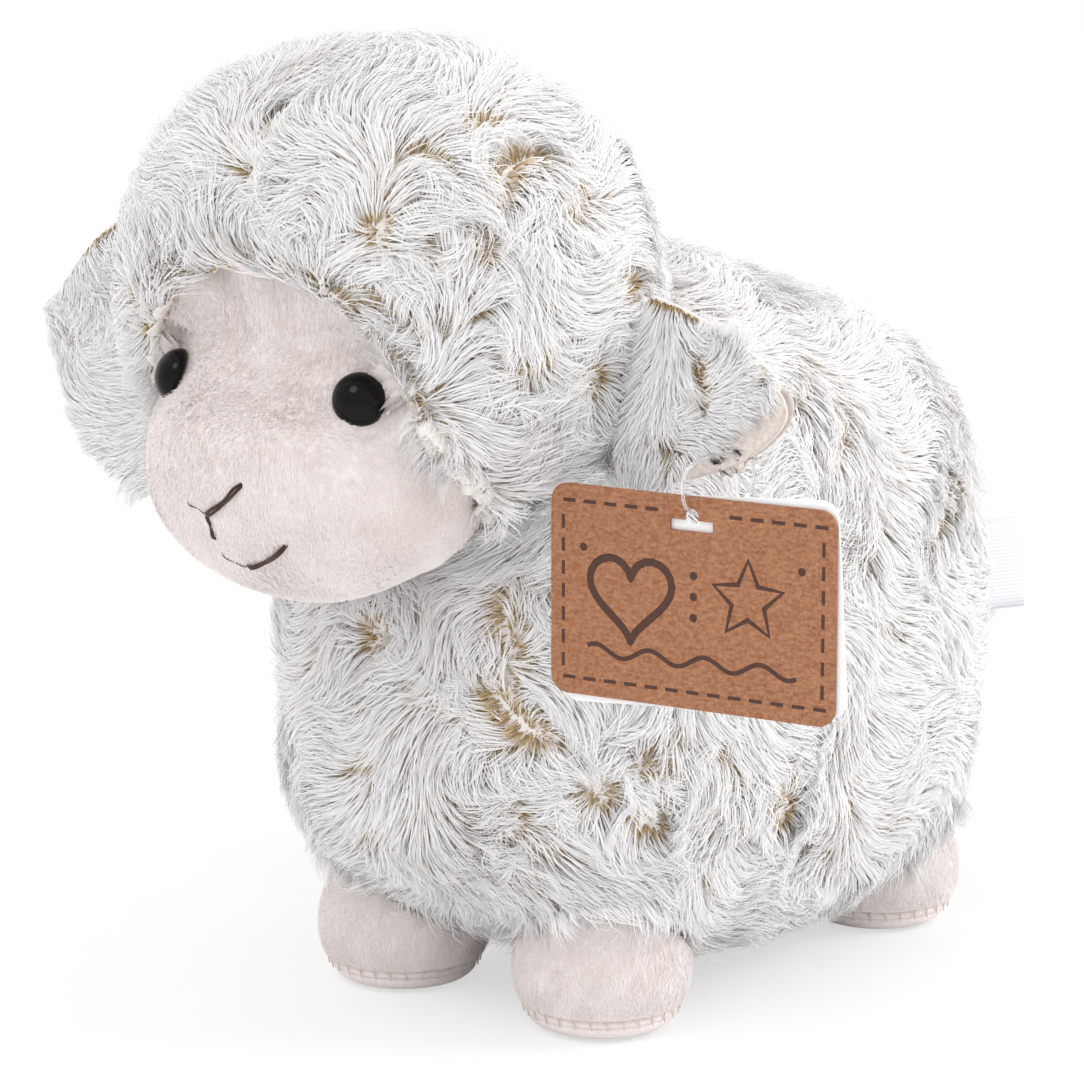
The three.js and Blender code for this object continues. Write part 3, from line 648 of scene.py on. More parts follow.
RIM_FRONT, RIM_BAND = -70 * MM, 0.2  # the rim is ahead of this, and within this share of the oval
EVENING_REACH, EVENING_STEPS = 9 * MM, 8
HEAD_MIDDLE = np.array((-5.13, -75.0, 150.0)) * MM
CROWN_FULLNESS, NAPE_FULLNESS = 2 * MM, 4.5 * MM  # how much more the stuffed hood swells there
hood = outer_wall("head_cover", "head_stuffing", 1.2 * MM, max)
(middle_x, middle_z), (half_x, half_z) = HAIRLINE_OVAL
rim = [
    v.co.copy() for v in hood.verts if v.is_boundary and v.co.y < RIM_FRONT
    and abs(math.hypot((v.co.x / MM - middle_x) / half_x, (v.co.z / MM - middle_z) / half_z) - 1) < RIM_BAND
]
hairline = kd_tree(rim)


def fullness(points):
    """How far the hood is swelled over its crown and the back of the head."""
    way = unit(points - HEAD_MIDDLE)
    crown = np.clip((way[:, 2] - 0.35) / 0.5, 0, 1)
    nape = np.clip((way @ (np.array((0.3, 0.75, 0.6)) / 1.006) - 0.45) / 0.4, 0, 1)
    return CROWN_FULLNESS * crown + NAPE_FULLNESS * nape


def rim_share(points, normals):
    """How much points belong to the turned-in rim of the hood, and the way straight out from the face there."""
    gaps = np.array([hairline.find(point)[2] for point in points.tolist()])
    radial = points - np.array((middle_x, 0, middle_z)) * MM
    radial[:, 1] = 0
    ahead = unit(0.6 * unit(radial) + np.array((0.0, -0.8, 0.0)))
    turned_in = np.clip(1 - (normals * ahead).sum(1), 0, 1)
    return np.clip(1 - gaps / HAIRLINE_REACH, 0, 1) * turned_in, ahead


def comb_head(points, normals):
    """Away from the face and down over the neck, and straight out from the hairline on its rim."""
    away = unit(points - FACE_CENTRE) + np.array((0.0, 0.35, -0.55))
    share, ahead = rim_share(points, normals)
    return away * (1 - share)[:, None] + 3 * ahead * share[:, None]


def hem_head(points, normals):
    """The pile may stand over the opening at the hairline, close to its rim, and where the hood is swelled."""
    share, _ = rim_share(points, normals)
    return 5 * MM * share + fullness(points), 1 - 0.6 * share


head_cloth = smoothed("hood_fur_cloth", hood, backing, levels=2, inset=PILE_INSET, seam=hairline)
kept_inside(head_cloth, BVHTree.FromBMesh(cad_copy("head_cover")), CLOTH_DEPTH, seam=hairline)
spots = np.array([v.co for v in head_cloth.data.vertices])
spots += np.array([v.normal for v in head_cloth.data.vertices]) * fullness(spots)[:, None]
store(head_cloth.data.vertices, "co", spots)
shape = bmesh.new()
shape.from_mesh(head_cloth.data)
turned_in = [v for v in shape.verts if not v.is_boundary and hairline.find(v.co)[2] < EVENING_REACH]
for _ in range(EVENING_STEPS):
    bmesh.ops.smooth_vert(
        shape, verts=turned_in, factor=0.5, use_axis_x=True, use_axis_y=True, use_axis_z=True
    )
shape.to_mesh(head_cloth.data)
shape.free()
grow_pile(
    "hood_pile", head_cloth, "torso", comb_head, HEAD_FIBRES, 12.5 * MM, seed=23, form="head_cover",
    marks=HEAD_PARTINGS, hem=hem_head,
)
lined(head_cloth, CLOTH_THICKNESS)
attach(head_cloth, "torso")
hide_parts("head_cover", "head_stuffing")

# Face: one panel of short-pile velour, stuffed to a rounded muzzle, brought forward to the hood's rim
# and drawn in a little round the eyes, with a nap of fine upright hairs.
velour, tree, shader, place = new_material(
    "blush_velour", 0.88, Specular_IOR_Level=0.2, Sheen_Weight=0.35, Sheen_Roughness=0.5
)
brushed = add_node(tree, "ShaderNodeMapping", {"Vector": place, "Scale": (900.0, 900.0, 320.0)})
nap = add_node(tree, "ShaderNodeTexNoise", {"Vector": brushed.outputs[0], "Scale": 1.0, "Detail": 4.0})
clouds = add_node(tree, "ShaderNodeTexNoise", {"Vector": place, "Scale": 45.0, "Detail": 2.0})
wear = add_node(tree, "ShaderNodeMath", {0: nap.outputs["Fac"], 1: clouds.outputs["Fac"]}, operation="ADD")
mean = add_node(tree, "ShaderNodeMath", {0: wear.outputs[0], 1: 0.5}, operation="MULTIPLY")
between(tree, shader, mean.outputs[0], ("#DDD2CF", "#EDE5E3"), (0.36, 0.62))
relief(tree, shader, nap.outputs["Fac"], 0.35 * MM, 0.6)

FACE_THICKNESS = 1.6 * MM
panel = outer_wall("face_panel", "head_stuffing", FACE_THICKNESS)
face = smoothed("face_velour", panel, velour, levels=3, inset=0.3 * MM)
lined(face, FACE_THICKNESS)
FOREHEAD_REACH = 26 * MM  # within this of its edge the panel is stuffed forward to meet the hood
EVENED = 9 * MM  # the push is the mean over this much of the edge
RIM_STEP, LONGEST_PUSH = 1 * MM, 17 * MM  # the edge ends this far behind the rim, and is moved this far at most
EYE_SPACE = 9 * MM  # the panel stays where it is within 0.8 of this from an eye's middle
SKIRT, FREE_SKIRT = 1.5, 3  # its hem past the rim, and where there is no rim, mm
shape = bmesh.new()
shape.from_mesh(face.data)
rim_from_front = kd_tree([(spot.x, 0, spot.z) for spot in rim])
edge = [v.co.copy() for v in shape.verts if v.is_boundary]
edge_from_front = kd_tree([(spot.x, 0, spot.z) for spot in edge])
gaps = []
for spot in edge:
    beside = rim_from_front.find_n((spot.x, 0, spot.z), 3)
    ahead = np.mean([rim[index].y for _, index, _ in beside]) + RIM_STEP
    gaps.append(min(0.0, max(-LONGEST_PUSH, ahead - spot.y)))
for vertex in shape.verts:
    from_front = Vector((vertex.co.x, 0, vertex.co.z))
    apart = edge_from_front.find(from_front)[2]
    about = edge_from_front.find_range(from_front, apart + EVENED)
    by_an_eye = min((from_front - Vector((middle[0], 0, middle[2]))).length for middle, _ in eye_axes)
    share = max(0.0, 1 - apart / FOREHEAD_REACH) ** 2 * min(1.0, max(0.0, by_an_eye / EYE_SPACE - 0.8))
    vertex.co.y += float(np.mean([gaps[index] for _, index, _ in about])) * share
for grown in bmesh.ops.extrude_edge_only(shape, edges=[e for e in shape.edges if e.is_boundary])["geom"]:
    if isinstance(grown, bmesh.types.BMVert):
        sewn, _, apart = hairline.find(grown.co)
        outward = Vector((sewn.x - middle_x * MM, 0.2 * MM, sewn.z - middle_z * MM)).normalized()
        free = grown.co + Vector((0, FREE_SKIRT * MM, 0))
        grown.co = sewn + outward * SKIRT * MM if apart < FOREHEAD_REACH else free
shape.to_mesh(face.data)
shape.free()
face.data.shade_smooth()
NAP_WIDTH = 0.24 * MM
FACE_HAIRS = 70000
nap_hair, tree, shader, _ = new_material(
    "blush_velour_nap", 0.85, Specular_IOR_Level=0.2, Sheen_Weight=0.3, Sheen_Roughness=0.5
)
hair = add_node(
    tree, "ShaderNodeSeparateXYZ", {"Vector": add_node(tree, "ShaderNodeUVMap", uv_map="OFBake").outputs[0]}
)
tone = add_node(
    tree, "ShaderNodeMath", {0: hair.outputs["Y"], 1: 0.35, 2: hair.outputs["X"]}, operation="MULTIPLY_ADD"
)
between(tree, shader, tone.outputs[0], ("#E4DAD7", "#F9F2F0"), (0.2, 1.0))


def grow_nap(name, cloth, lay, count, length, seed, lowest=0.0):
    """Short brushed hairs over a velour of the torso, each one narrow triangle, as pieces name_1 and on."""
    draw = np.random.default_rng(seed)
    spots, normals = scatter(cloth, count, draw)
    spots, normals = spots[spots[:, 2] > lowest], normals[spots[:, 2] > lowest]
    brush = np.array(lay) + 0.25 * np.column_stack([waves(spots, 26 * MM, seed + k) for k in (1, 2, 3)])
    flow = on_surface(brush + draw.normal(0, 0.3, spots.shape), normals)
    size = (length * draw.uniform(0.6, 1.1, len(spots)))[:, None]
    tips = spots + (flow * 0.85 + normals * 0.42) * size
    tones = np.clip(0.4 + 0.09 * waves(spots, 9 * MM, seed + 4) + draw.normal(0, 0.12, len(spots)), 0.02, 0.96)
    width = NAP_WIDTH * draw.uniform(0.8, 1.2, len(spots))
    ribbons(
        name, [spots, tips], unit(np.cross(flow, normals)), normals, width, tones, (1.0,), (0.0, 1.0), nap_hair,
        "torso",
    )


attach(face, "torso")
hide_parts("face_panel")

# Feet: short stuffed tubes of the same velour, each closed by a round sole. The two are sewn edge to
# edge over a narrow welt, so the seam pulls in between them, crossed by its stitches.
SEAM_HEIGHT = 5.15 * MM
SEAM_PULL, FOOT_SWELL = 0.9 * MM, 1.4 * MM
FULL_TURN = 2 * math.pi
STITCHES, STITCH_RADIUS, STITCH_LENGTH, SEAM_RADIUS = 30, 0.17 * MM, 2.4 * MM, 18.35 * MM
STITCH_SIDEWAYS, STITCH_TILT = math.radians(12), math.radians(14)
WELT_RADIUS, WELT_SIDES, WELT_STEPS = 0.9 * MM, 10, 64
TUBE_TURN_UP, TUBE_STRETCH = 25 * MM, 1.5  # above this height the tube runs on up inside the body
FOOT_HAIRS = 15000
sewing, *_ = speckled(
    "blush_polyester_thread", 0.6, 3000.0, 2.0, ("#CDB7AF", "#E4D5CF"), Specular_IOR_Level=0.3, Sheen_Weight=0.2
)
for number, (leg, middle) in enumerate(zip(legs, leg_middles)):
    tube_wall = outer_wall(f"{leg}_cover", f"{leg}_stuffing", 1.3 * MM)
    sole_wall = outer_wall(f"{leg}_sole", f"{leg}_stuffing", 1.3 * MM)
    tube = smoothed(f"{leg}_velour", tube_wall, velour, 2, 0.2 * MM)
    sole = smoothed(f"{leg}_sole_velour", sole_wall, velour, 2, 0.2 * MM)
    for piece, nodes in ((tube, (f"{leg}_cover", f"{leg}_stuffing")), (sole, (f"{leg}_sole",))):
        for vertex in piece.data.vertices:
            place = np.array(vertex.co)
            apart = place[:2] - middle[:2]
            radius = np.linalg.norm(apart)
            height = place[2] - SEAM_HEIGHT
            pull = SEAM_PULL * math.exp(-(height / (1.1 * MM)) ** 2)
            swell = FOOT_SWELL * math.sin(math.pi * min(1.0, max(0.0, height / (20 * MM))))
            if radius > 12 * MM:
                place[:2] += apart / radius * (swell - pull)
            place[2] -= height * math.exp(-(height / (0.35 * MM)) ** 2)
            place[2] += max(0.0, place[2] - TUBE_TURN_UP) * TUBE_STRETCH
            vertex.co = place
        lined(piece, 1.4 * MM)
        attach(piece, "torso")
        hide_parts(*nodes)
    grow_nap(
        f"{leg}_nap", tube, (0.0, 0.0, -1.0), FOOT_HAIRS, 1.6 * MM,
        seed=81 + number, lowest=SEAM_HEIGHT + 2 * MM,
    )
    stitches = bmesh.new()
    for k in range(STITCHES):
        turn = Matrix.Rotation(FULL_TURN * k / STITCHES, 4, "Z")
        lean = Matrix.Rotation(STITCH_SIDEWAYS, 4, "Y") @ Matrix.Rotation(STITCH_TILT, 4, "X")
        on_seam = Matrix.Translation((middle[0], middle[1], SEAM_HEIGHT))
        seat = on_seam @ turn @ Matrix.Translation((SEAM_RADIUS, 0, 0))
        bmesh.ops.create_cone(
            stitches, cap_ends=True, segments=8, radius1=STITCH_RADIUS, radius2=STITCH_RADIUS,
            depth=STITCH_LENGTH, matrix=seat @ lean,
        )
    stitches = new_piece(f"{leg}_seam_stitches", stitches, sewing)
    welt = bmesh.new()
    bmesh.ops.create_circle(welt, segments=WELT_SIDES, radius=WELT_RADIUS)
    bmesh.ops.rotate(welt, verts=welt.verts, cent=(0, 0, 0), matrix=Matrix.Rotation(math.pi / 2, 3, "X"))
    centre = Vector((middle[0], middle[1], SEAM_HEIGHT))
    bmesh.ops.translate(welt, verts=welt.verts, vec=centre + Vector((SEAM_RADIUS - 1.3 * WELT_RADIUS, 0, 0)))
    bmesh.ops.spin(
        welt, geom=welt.verts[:] + welt.edges[:], axis=(0, 0, 1), cent=centre,
        angle=FULL_TURN, steps=WELT_STEPS, use_merge=True,
    )
    bmesh.ops.remove_doubles(welt, verts=welt.verts, dist=MERGED)
    bmesh.ops.recalc_face_normals(welt, faces=welt.faces)
    welt = new_piece(f"{leg}_seam_allowance", welt, velour)
    for piece in (stitches, welt):
        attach(piece, "torso")

# Eyes: domed buttons of polished black plastic, each on a stem through the face, locked behind the
# cloth by a washer of natural nylon.
EYE_RADIUS, EYE_SUNK, EYE_HEIGHT = 6.0 * MM, 1.6 * MM, 3.4 * MM
SOCKET_INNER, SOCKET_OUTER = 6.6 * MM, 11 * MM  # the face is drawn in to the button's back within these
polished, *_ = speckled(
    "polished_black_eye_plastic", 0.05, 260.0, 2.0, ("#050404", "#0C0A0B"), Specular_IOR_Level=0.17, IOR=1.49
)
nylon, *_ = speckled(
    "natural_nylon_washer", 0.45, 1200.0, 2.0, ("#DFDCD2", "#F0EEE8"), Specular_IOR_Level=0.5
)


def finish_cad(node, material):
    """Gives a CAD solid that is kept as it is its own finish."""
    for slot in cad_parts[node].material_slots:
        slot.material = material


def axis_of(node, about):
    """The middle of a turned CAD solid and its axis, nearest to a direction."""
    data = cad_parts[node].data
    places = np.zeros(len(data.vertices) * 3, np.float32)
    data.vertices.foreach_get("co", places)
    places = np.unique(places.reshape(-1, 3).round(6), axis=0).astype(float)
    middle = places.mean(0)
    _, _, ways = np.linalg.svd(places - middle, full_matrices=False)
    way = max(ways, key=lambda w: abs(w @ np.array(about)))
    way = way * np.sign(way @ np.array(about))
    return middle, way, ((places - middle) @ way).max()


for side, sign in (("left", 1), ("right", -1)):
    about = (sign * math.sin(EYE_AIM), -math.cos(EYE_AIM), 0)
    middle, way, reach = axis_of(f"eye_{side}", about)
    dome = bmesh.new()
    steps = [k / 12 * math.pi / 2 for k in range(13)]
    profile = [dome.verts.new((EYE_RADIUS * 0.86, 0, -EYE_SUNK - 0.9 * MM))]
    profile += [
        dome.verts.new((EYE_RADIUS * math.cos(t), 0, -EYE_SUNK + (EYE_HEIGHT + EYE_SUNK) * math.sin(t)))
        for t in steps
    ]
    edges = [dome.edges.new(pair) for pair in zip(profile, profile[1:])]
    bmesh.ops.spin(
        dome, geom=profile + edges, axis=(0, 0, 1), cent=(0, 0, 0), angle=FULL_TURN, steps=48, use_merge=True
    )
    bmesh.ops.remove_doubles(dome, verts=dome.verts, dist=MERGED)
    bmesh.ops.holes_fill(dome, edges=[e for e in dome.edges if e.is_boundary])
    bmesh.ops.recalc_face_normals(dome, faces=dome.faces)
    tip = Vector(middle + way * reach)
    facing = Vector(way).to_track_quat("Z", "Y").to_matrix().to_4x4()
    seat = Matrix.Translation(tip - Vector(way) * EYE_HEIGHT) @ facing
    dome.transform(seat)
    button = new_piece(f"eye_{side}_button", dome, polished)
    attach(button, "torso")
    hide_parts(f"eye_{side}")
    finish_cad(f"eye_washer_{side}", nylon)
    seat_plane = tip - Vector(way) * (EYE_HEIGHT + 0.5 * MM)
    for vertex in face.data.vertices:
        offset = vertex.co - seat_plane
        height = offset.dot(Vector(way))
        apart = (offset - Vector(way) * height).length
        share = min(1.0, max(0.0, (SOCKET_OUTER - apart) / (SOCKET_OUTER - SOCKET_INNER)))
        if height > 0:
            vertex.co -= Vector(way) * height * share * share * (3 - 2 * share)
grow_nap("face_nap", face, (0.0, 0.35, -0.8), FACE_HAIRS, 1.5 * MM, seed=71)

# Nose and mouth: a few strands of dark brown cotton thread laid side by side, each stroke drawn
# through the face at its ends.
cotton, tree, shader, ply = speckled(
    "dark_brown_cotton_thread", 0.75, 2600.0, 2.0, ("#2A1A14", "#4E342A"),
    Specular_IOR_Level=0.2, Sheen_Weight=0.2,
)
relief(tree, shader, ply, 0.15 * MM, 0.8)
face_skin = BVHTree.FromPolygons([v.co for v in face.data.vertices], [p.vertices for p in face.data.polygons])


def on_face(across, up):
    """The point of the face straight ahead of a point of the front view, with its normal, in millimetres."""
    spot, normal, _, _ = face_skin.ray_cast(Vector((across - 5.13, -97, up)) * MM, Vector((0, -1, 0)))
    return spot, normal


def add_tube(mesh, curve):
    """Adds the tube that a curve makes to a mesh."""
    holder = bpy.data.objects.new(curve.name, curve)
    mesh.from_mesh(holder.to_mesh())
    holder.to_mesh_clear()
    bpy.data.objects.remove(holder)


def strands(name, strokes, material):
    """Threads along lines of the front view; a stroke is its points, radius and sideways shifts."""
    tubes = bmesh.new()
    for line, radius, shifts in strokes:
        laid = [on_face(*point) for point in line]
        for shift in shifts:
            curve = bpy.data.curves.new(name, "CURVE")
            curve.dimensions, curve.bevel_depth, curve.bevel_resolution = "3D", radius, 3
            curve.resolution_u = 6
            spline = curve.splines.new("BEZIER")
            spline.bezier_points.add(len(laid) + 1)
            route = []
            for k, (spot, normal) in enumerate(laid):
                ahead = laid[min(k + 1, len(laid) - 1)][0] - laid[max(k - 1, 0)][0]
                sideways = normal.cross(ahead).normalized() * shift
                route.append(spot + sideways + normal * radius * 1.05)
            route.insert(0, laid[0][0] - laid[0][1] * 1.2 * MM + (route[0] - route[1]).normalized() * 0.2 * MM)
            route.append(laid[-1][0] - laid[-1][1] * 1.2 * MM + (route[-1] - route[-2]).normalized() * 0.2 * MM)
            for point, place in zip(spline.bezier_points, route):
                point.co = place
                point.handle_left_type = point.handle_right_type = "AUTO"
            curve.use_fill_caps = True
            add_tube(tubes, curve)
    return new_piece(name, tubes, material)


THREAD = 0.34 * MM
NOSE_STEM = [(8.1, 137.8), (3.3, 133.8), (-2.7, 130.3)]
NOSE_DROP = [(-2.7, 130.3), (-3.0, 127.5), (-3.5, 124.5)]
NOSE_WING = [(-8.3, 132.0), (-5.5, 131.2), (-2.7, 130.3)]
MOUTH_LEFT = [(2.5, 118.6), (7.5, 120.1), (15.2, 124.9)]
MOUTH_RIGHT = [(-4.0, 120.7), (-1.5, 118.8), (2.5, 118.6)]
nose = strands("nose_threads", [
    (NOSE_STEM, THREAD, (-0.28 * MM, 0.28 * MM)),
    (NOSE_DROP, THREAD * 0.8, (-0.15 * MM, 0.2 * MM)),
    (NOSE_WING, THREAD * 0.4, (0,)),
], cotton)
mouth = strands("mouth_threads", [
    (MOUTH_LEFT, THREAD, (-0.15 * MM, 0.2 * MM)),
    (MOUTH_RIGHT, THREAD * 0.35, (0,)),
], cotton)
for piece, node in ((nose, "nose_embroidery"), (mouth, "mouth_embroidery")):
    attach(piece, "torso")
    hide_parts(node)

# Ears: leaves of the fur cloth in front, lined behind with smooth beige pile cloth, and sewn to the
# sides of the hood. The left one's lower edge turns up, so a lip of its lining shows.
EAR_INSET = 1.9 * MM
EAR_FIBRES = 17000
RIGHT_EAR_REACH = 0.93  # the photograph shows it a little shorter, turned back from the face
LIP_COLUMNS = (674, 681, 711, 742, 752, 790)  # where the turned-up lip shows: pixels along its upper edge
LIP_ROWS = (464, 459, 448, 426, 402, 374)
LIP_FADE, LIP_SWELL = 34, 2.6 * MM  # pixels, and how far the lip stands out from the pile's backing
LEFT_EAR_PARTINGS = (
    (698, 385, 20, 6, 1.0), (669, 447, 25, 6, 0.8), (623, 339, -60, 6, 0.6), (759, 372, -20, 5, 0.6),
    (697, 357, 10, 5, 0.5), (640, 300, -90, 5, 0.6),
)
suede, tree, shader, fleck = speckled(
    "beige_ear_lining", 0.85, 1100.0, 3.0, ("#D2C6BE", "#E4DAD2"), (0.35, 0.65),
    Specular_IOR_Level=0.2, Sheen_Weight=0.3, Sheen_Roughness=0.5,
)
relief(tree, shader, fleck, 0.25 * MM, 0.6)


def below_lip(points):
    """How far below the lip's upper edge points show in the picture, in pixels."""
    columns, rows = picture_places(points)
    return rows - np.interp(columns, LIP_COLUMNS, LIP_ROWS, left=2 * VIEW_SIDE)


for side, sign, marks in (("left", 1, LEFT_EAR_PARTINGS), ("right", -1, ())):
    wall = outer_wall(f"ear_{side}_outer", f"ear_{side}_lining", 1.8 * MM)
    ear = smoothed(f"ear_{side}_fur_cloth", wall, backing, 2, EAR_INSET)
    clear = None
    if side == "left":
        clear = lambda points: below_lip(points) < 0
        ear.data.materials.append(suede)
        below = below_lip(np.array([p.center for p in ear.data.polygons]))
        store(ear.data.polygons, "material_index", below > 0, np.int32)
        places = np.array([v.co for v in ear.data.vertices])
        outward = np.array([v.normal for v in ear.data.vertices])
        swell = LIP_SWELL * np.clip(below_lip(places) / 6, 0, 1)
        store(ear.data.vertices, "co", places + outward * swell[:, None])
        ear.data.update()

    def comb_ear(points, normals):
        """Out along the ear and a little down, and up from the lip."""
        lay = np.tile((sign * 0.8, 0.0, -0.5), (len(points), 1))
        if side == "left":
            lay[:, 2] += 0.9 * np.clip(1 + below_lip(points) / LIP_FADE, 0, 1)
        return lay

    ear_pieces = grow_pile(
        f"ear_{side}_pile", ear, f"{side}_ear", comb_ear, EAR_FIBRES, 10 * MM, seed=41 + sign,
        form=f"ear_{side}_outer", marks=marks, clear=clear, spacing=28 * MM, rise=0.42,
    )
    lined(ear, 1.0 * MM)
    lining = cad_copy(f"ear_{side}_lining")
    squared(lining)
    lining = smoothed(f"ear_{side}_lining_cloth", lining, suede, 2, 0.0)
    for piece, node, slot in ((ear, f"ear_{side}_outer", "fur"), (lining, f"ear_{side}_lining", "lining")):
        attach(piece, f"{side}_ear")
        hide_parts(node)
    if side == "right":
        root = Vector(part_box("ear_right_outer")[1])
        shorter = Matrix.Scale(RIGHT_EAR_REACH, 4, (1, 0, 0))
        narrowed = Matrix.Translation(root) @ shorter @ Matrix.Translation(-root)
        for piece in (*ear_pieces, ear, lining):
            piece.data.transform(narrowed)

# Tail: a stuffed drop of the fur cloth that hangs from a narrow root at the rump.
TAIL_FIBRES = 20000


def comb_tail(points, normals):
    """Down along the tail."""
    return np.tile((0.0, 0.6, -0.8), (len(points), 1))


tail = smoothed("tail_fur_cloth", outer_wall("tail_cover", "tail_stuffing", 3 * MM), backing, 2, 3.2 * MM)
grow_pile(
    "tail_pile", tail, "tail", comb_tail, TAIL_FIBRES, 10.5 * MM, seed=57, form="tail_cover",
    spacing=28 * MM, rise=0.42,
)
lined(tail, 1.2 * MM)
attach(tail, "tail")
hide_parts("tail_cover", "tail_stuffing")

# Care label: white satin ribbon, 24 mm wide, folded once and sewn in by its two ends beside the tail.
LABEL_WIDTH, LABEL_REACH, LABEL_GAP = 24 * MM, 27 * MM, 0.5 * MM
LABEL_ROOT = Vector((14.87, 101.30, 69)) * MM
label_out, label_side = Vector((0.375, 0.927, 0)), Vector((-0.927, 0.375, 0))
satin, tree, shader, place = new_material(
    "white_satin_ribbon", 0.38, Specular_IOR_Level=0.4, Sheen_Weight=0.3, Sheen_Roughness=0.3
)
cross = add_node(
    tree, "ShaderNodeTexWave", {"Vector": place, "Scale": 330.0, "Distortion": 0.6}, bands_direction="Z"
)
between(tree, shader, cross.outputs["Fac"], ("#DFDFE6", "#EFEFF4"))
relief(tree, shader, cross.outputs["Fac"], 0.05 * MM, 0.5)
run = [(LABEL_REACH * k / 14, LABEL_GAP) for k in range(15)]
run += [
    (LABEL_REACH + LABEL_GAP * math.sin(t), LABEL_GAP * math.cos(t))
    for t in np.linspace(0, math.pi, 9)[1:-1].tolist()
]
run += [(LABEL_REACH * k / 14, -LABEL_GAP) for k in range(14, -1, -1)]
ribbon = bmesh.new()
line = [ribbon.verts.new(LABEL_ROOT + label_out * along + label_side * aside) for along, aside in run]
edges = [ribbon.edges.new(pair) for pair in zip(line, line[1:])]
for _ in range(6):
    grown = bmesh.ops.extrude_edge_only(ribbon, edges=edges)["geom"]
    edges = [g for g in grown if isinstance(g, bmesh.types.BMEdge)]
    bmesh.ops.translate(
        ribbon, verts=[g for g in grown if isinstance(g, bmesh.types.BMVert)], vec=(0, 0, LABEL_WIDTH / 6)
    )
    edges = [e for e in edges if all(v.co.z > max(g.co.z for g in e.verts) - 0.1 * MM for v in e.verts)]
for vertex in ribbon.verts:
    out = (vertex.co - LABEL_ROOT).dot(label_out) / LABEL_REACH
    up = vertex.co.z / LABEL_WIDTH
    vertex.co += label_side * (0.9 * MM * math.sin(3.0 * out + 2.2 * up) * out)
bmesh.ops.recalc_face_normals(ribbon, faces=ribbon.faces)
label = new_piece("care_label_ribbon", ribbon, satin)
weight = label.modifiers.new("thickness", "SOLIDIFY")
weight.thickness, weight.offset = 0.2 * MM, 0
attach(label, "label")
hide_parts("care_label")

# Tag loop: a moulded ring of clear nylon filament, closed through the ear and both cards.
filament, *_ = speckled(
    "clear_nylon_filament", 0.18, 900.0, 2.0, ("#E9EDF0", "#FBFBFC"),
    Specular_IOR_Level=0.5, IOR=1.53, Transmission_Weight=0.75,
)
finish_cad("tag_loop", filament)

# Card tags: a die-cut kraft board in front, printed in dark brown, and a plain white coated card
# behind it, both punched with the same hanging slot.
CARD_HOLE = Vector((82.67, -94.57, 133.0)) * MM
CARD_YAW = math.radians(8)
card_across = Vector((math.cos(CARD_YAW), math.sin(CARD_YAW), 0))
card_ahead = Vector((math.sin(CARD_YAW), -math.cos(CARD_YAW), 0))
card_front = max((v.co - CARD_HOLE).dot(card_ahead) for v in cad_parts["tag_front_card"].data.vertices)
kraft, tree, shader, place = new_material("brown_kraft_board", 0.86, Specular_IOR_Level=0.2)
pulp = add_node(tree, "ShaderNodeMapping", {"Vector": place, "Scale": (600.0, 600.0, 1500.0)})
flecks = add_node(tree, "ShaderNodeTexNoise", {"Vector": pulp.outputs[0], "Scale": 1.0, "Detail": 3.0})
blotch = add_node(tree, "ShaderNodeTexNoise", {"Vector": place, "Scale": 1500.0, "Detail": 4.0})
halved = add_node(tree, "ShaderNodeMath", {0: blotch.outputs["Fac"], 1: 0.5}, operation="MULTIPLY")
board = add_node(
    tree, "ShaderNodeMath", {0: flecks.outputs["Fac"], 1: 0.5, 2: halved.outputs[0]}, operation="MULTIPLY_ADD"
)
between(tree, shader, board.outputs[0], ("#8C5A40", "#B08061"), (0.36, 0.64))
relief(tree, shader, blotch.outputs["Fac"], 0.08 * MM, 0.5)
finish_cad("tag_front_card", kraft)
coated, *_ = speckled("white_coated_card", 0.55, 1400.0, 2.0, ("#EEEEEF", "#F8F8F8"), Specular_IOR_Level=0.35)
finish_cad("tag_back_card", coated)
ink, *_ = speckled("dark_brown_printing_ink", 0.6, 1800.0, 3.0, ("#3F2822", "#5A3D32"), Specular_IOR_Level=0.3)
BORDER_SIDE, BORDER_TOP, BORDER_BOTTOM, DASH, DASH_GAP = 30.4, 0.8, -37.6, 3.0, 2.0  # mm from the hole
HEART_SIZE, HEART_PLACE = 0.62, (-14.5, -18.0)
STAR_RADIUS, STAR_WAIST, STAR_PLACE = 8.6, 4.0, (13.5, -16.5)
heart = [
    (HEART_PLACE[0] + HEART_SIZE * 16 * math.sin(t) ** 3,
     HEART_PLACE[1] + HEART_SIZE
     * (13 * math.cos(t) - 5 * math.cos(2 * t) - 2 * math.cos(3 * t) - math.cos(4 * t)))
    for t in np.linspace(0, FULL_TURN, 41)[:-1].tolist()
]
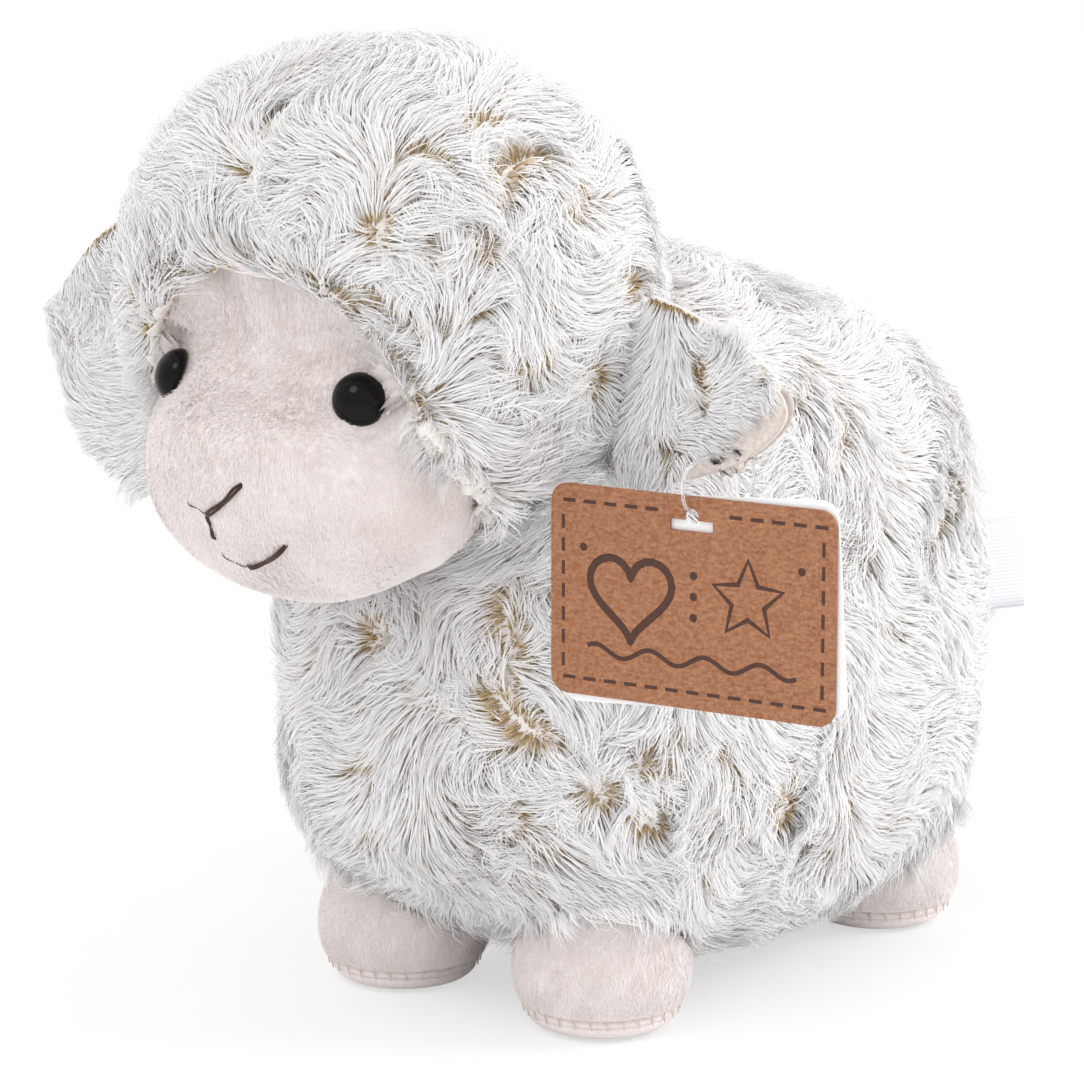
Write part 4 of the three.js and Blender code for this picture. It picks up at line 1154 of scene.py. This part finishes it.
star = [
    (STAR_PLACE[0] + reach * math.sin(FULL_TURN * k / 10), STAR_PLACE[1] + reach * math.cos(FULL_TURN * k / 10))
    for k, reach in enumerate((STAR_RADIUS, STAR_WAIST) * 5)
]
wave = [(x, -31.0 + 1.3 * math.sin(x / 2.1)) for x in np.linspace(-25, 25, 51).tolist()]
strokes = [(heart, 1.7, True), (star, 1.2, True), (wave, 1.0, False)]
DOT_RADIUS = 0.45
dot_turns = np.linspace(0, FULL_TURN, 9)[:-1].tolist()
for x, y in ((0.6, -12.5), (0.6, -17.0), (0.6, -21.5), (26.0, -9.0), (-26.0, -9.0)):
    ring = [(x + DOT_RADIUS * math.sin(t), y + DOT_RADIUS * math.cos(t)) for t in dot_turns]
    strokes.append((ring, 1.0, True))
for k in range(13):
    start = -BORDER_SIDE + k * (DASH + DASH_GAP) - 0.6
    strokes.append(([(start, BORDER_BOTTOM), (start + DASH, BORDER_BOTTOM)], 0.8, False))
    if abs(start + DASH / 2) > 9:
        strokes.append(([(start, BORDER_TOP), (start + DASH, BORDER_TOP)], 0.8, False))
for k in range(7):
    start = BORDER_TOP - 3.2 - k * (DASH + DASH_GAP)
    for x in (-BORDER_SIDE - 0.6, BORDER_SIDE + 0.6):
        strokes.append(([(x, start), (x, start - DASH)], 0.8, False))
printed = bmesh.new()
for line, breadth, closed in strokes:
    curve = bpy.data.curves.new("stroke", "CURVE")
    curve.dimensions, curve.bevel_depth, curve.bevel_resolution = "3D", breadth / 2 * MM, 2
    curve.use_fill_caps = True
    spline = curve.splines.new("POLY")
    spline.points.add(len(line) - 1)
    spline.use_cyclic_u = closed
    for point, (across, up) in zip(spline.points, line):
        place = CARD_HOLE + card_across * across * MM + Vector((0, 0, up)) * MM + card_ahead * card_front
        point.co = (*place, 1)
    add_tube(printed, curve)
for vertex in printed.verts:
    vertex.co -= card_ahead * ((vertex.co - CARD_HOLE).dot(card_ahead) - card_front) * 0.9
printed = new_piece("front_card_print", printed, ink)
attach(printed, "front_card")
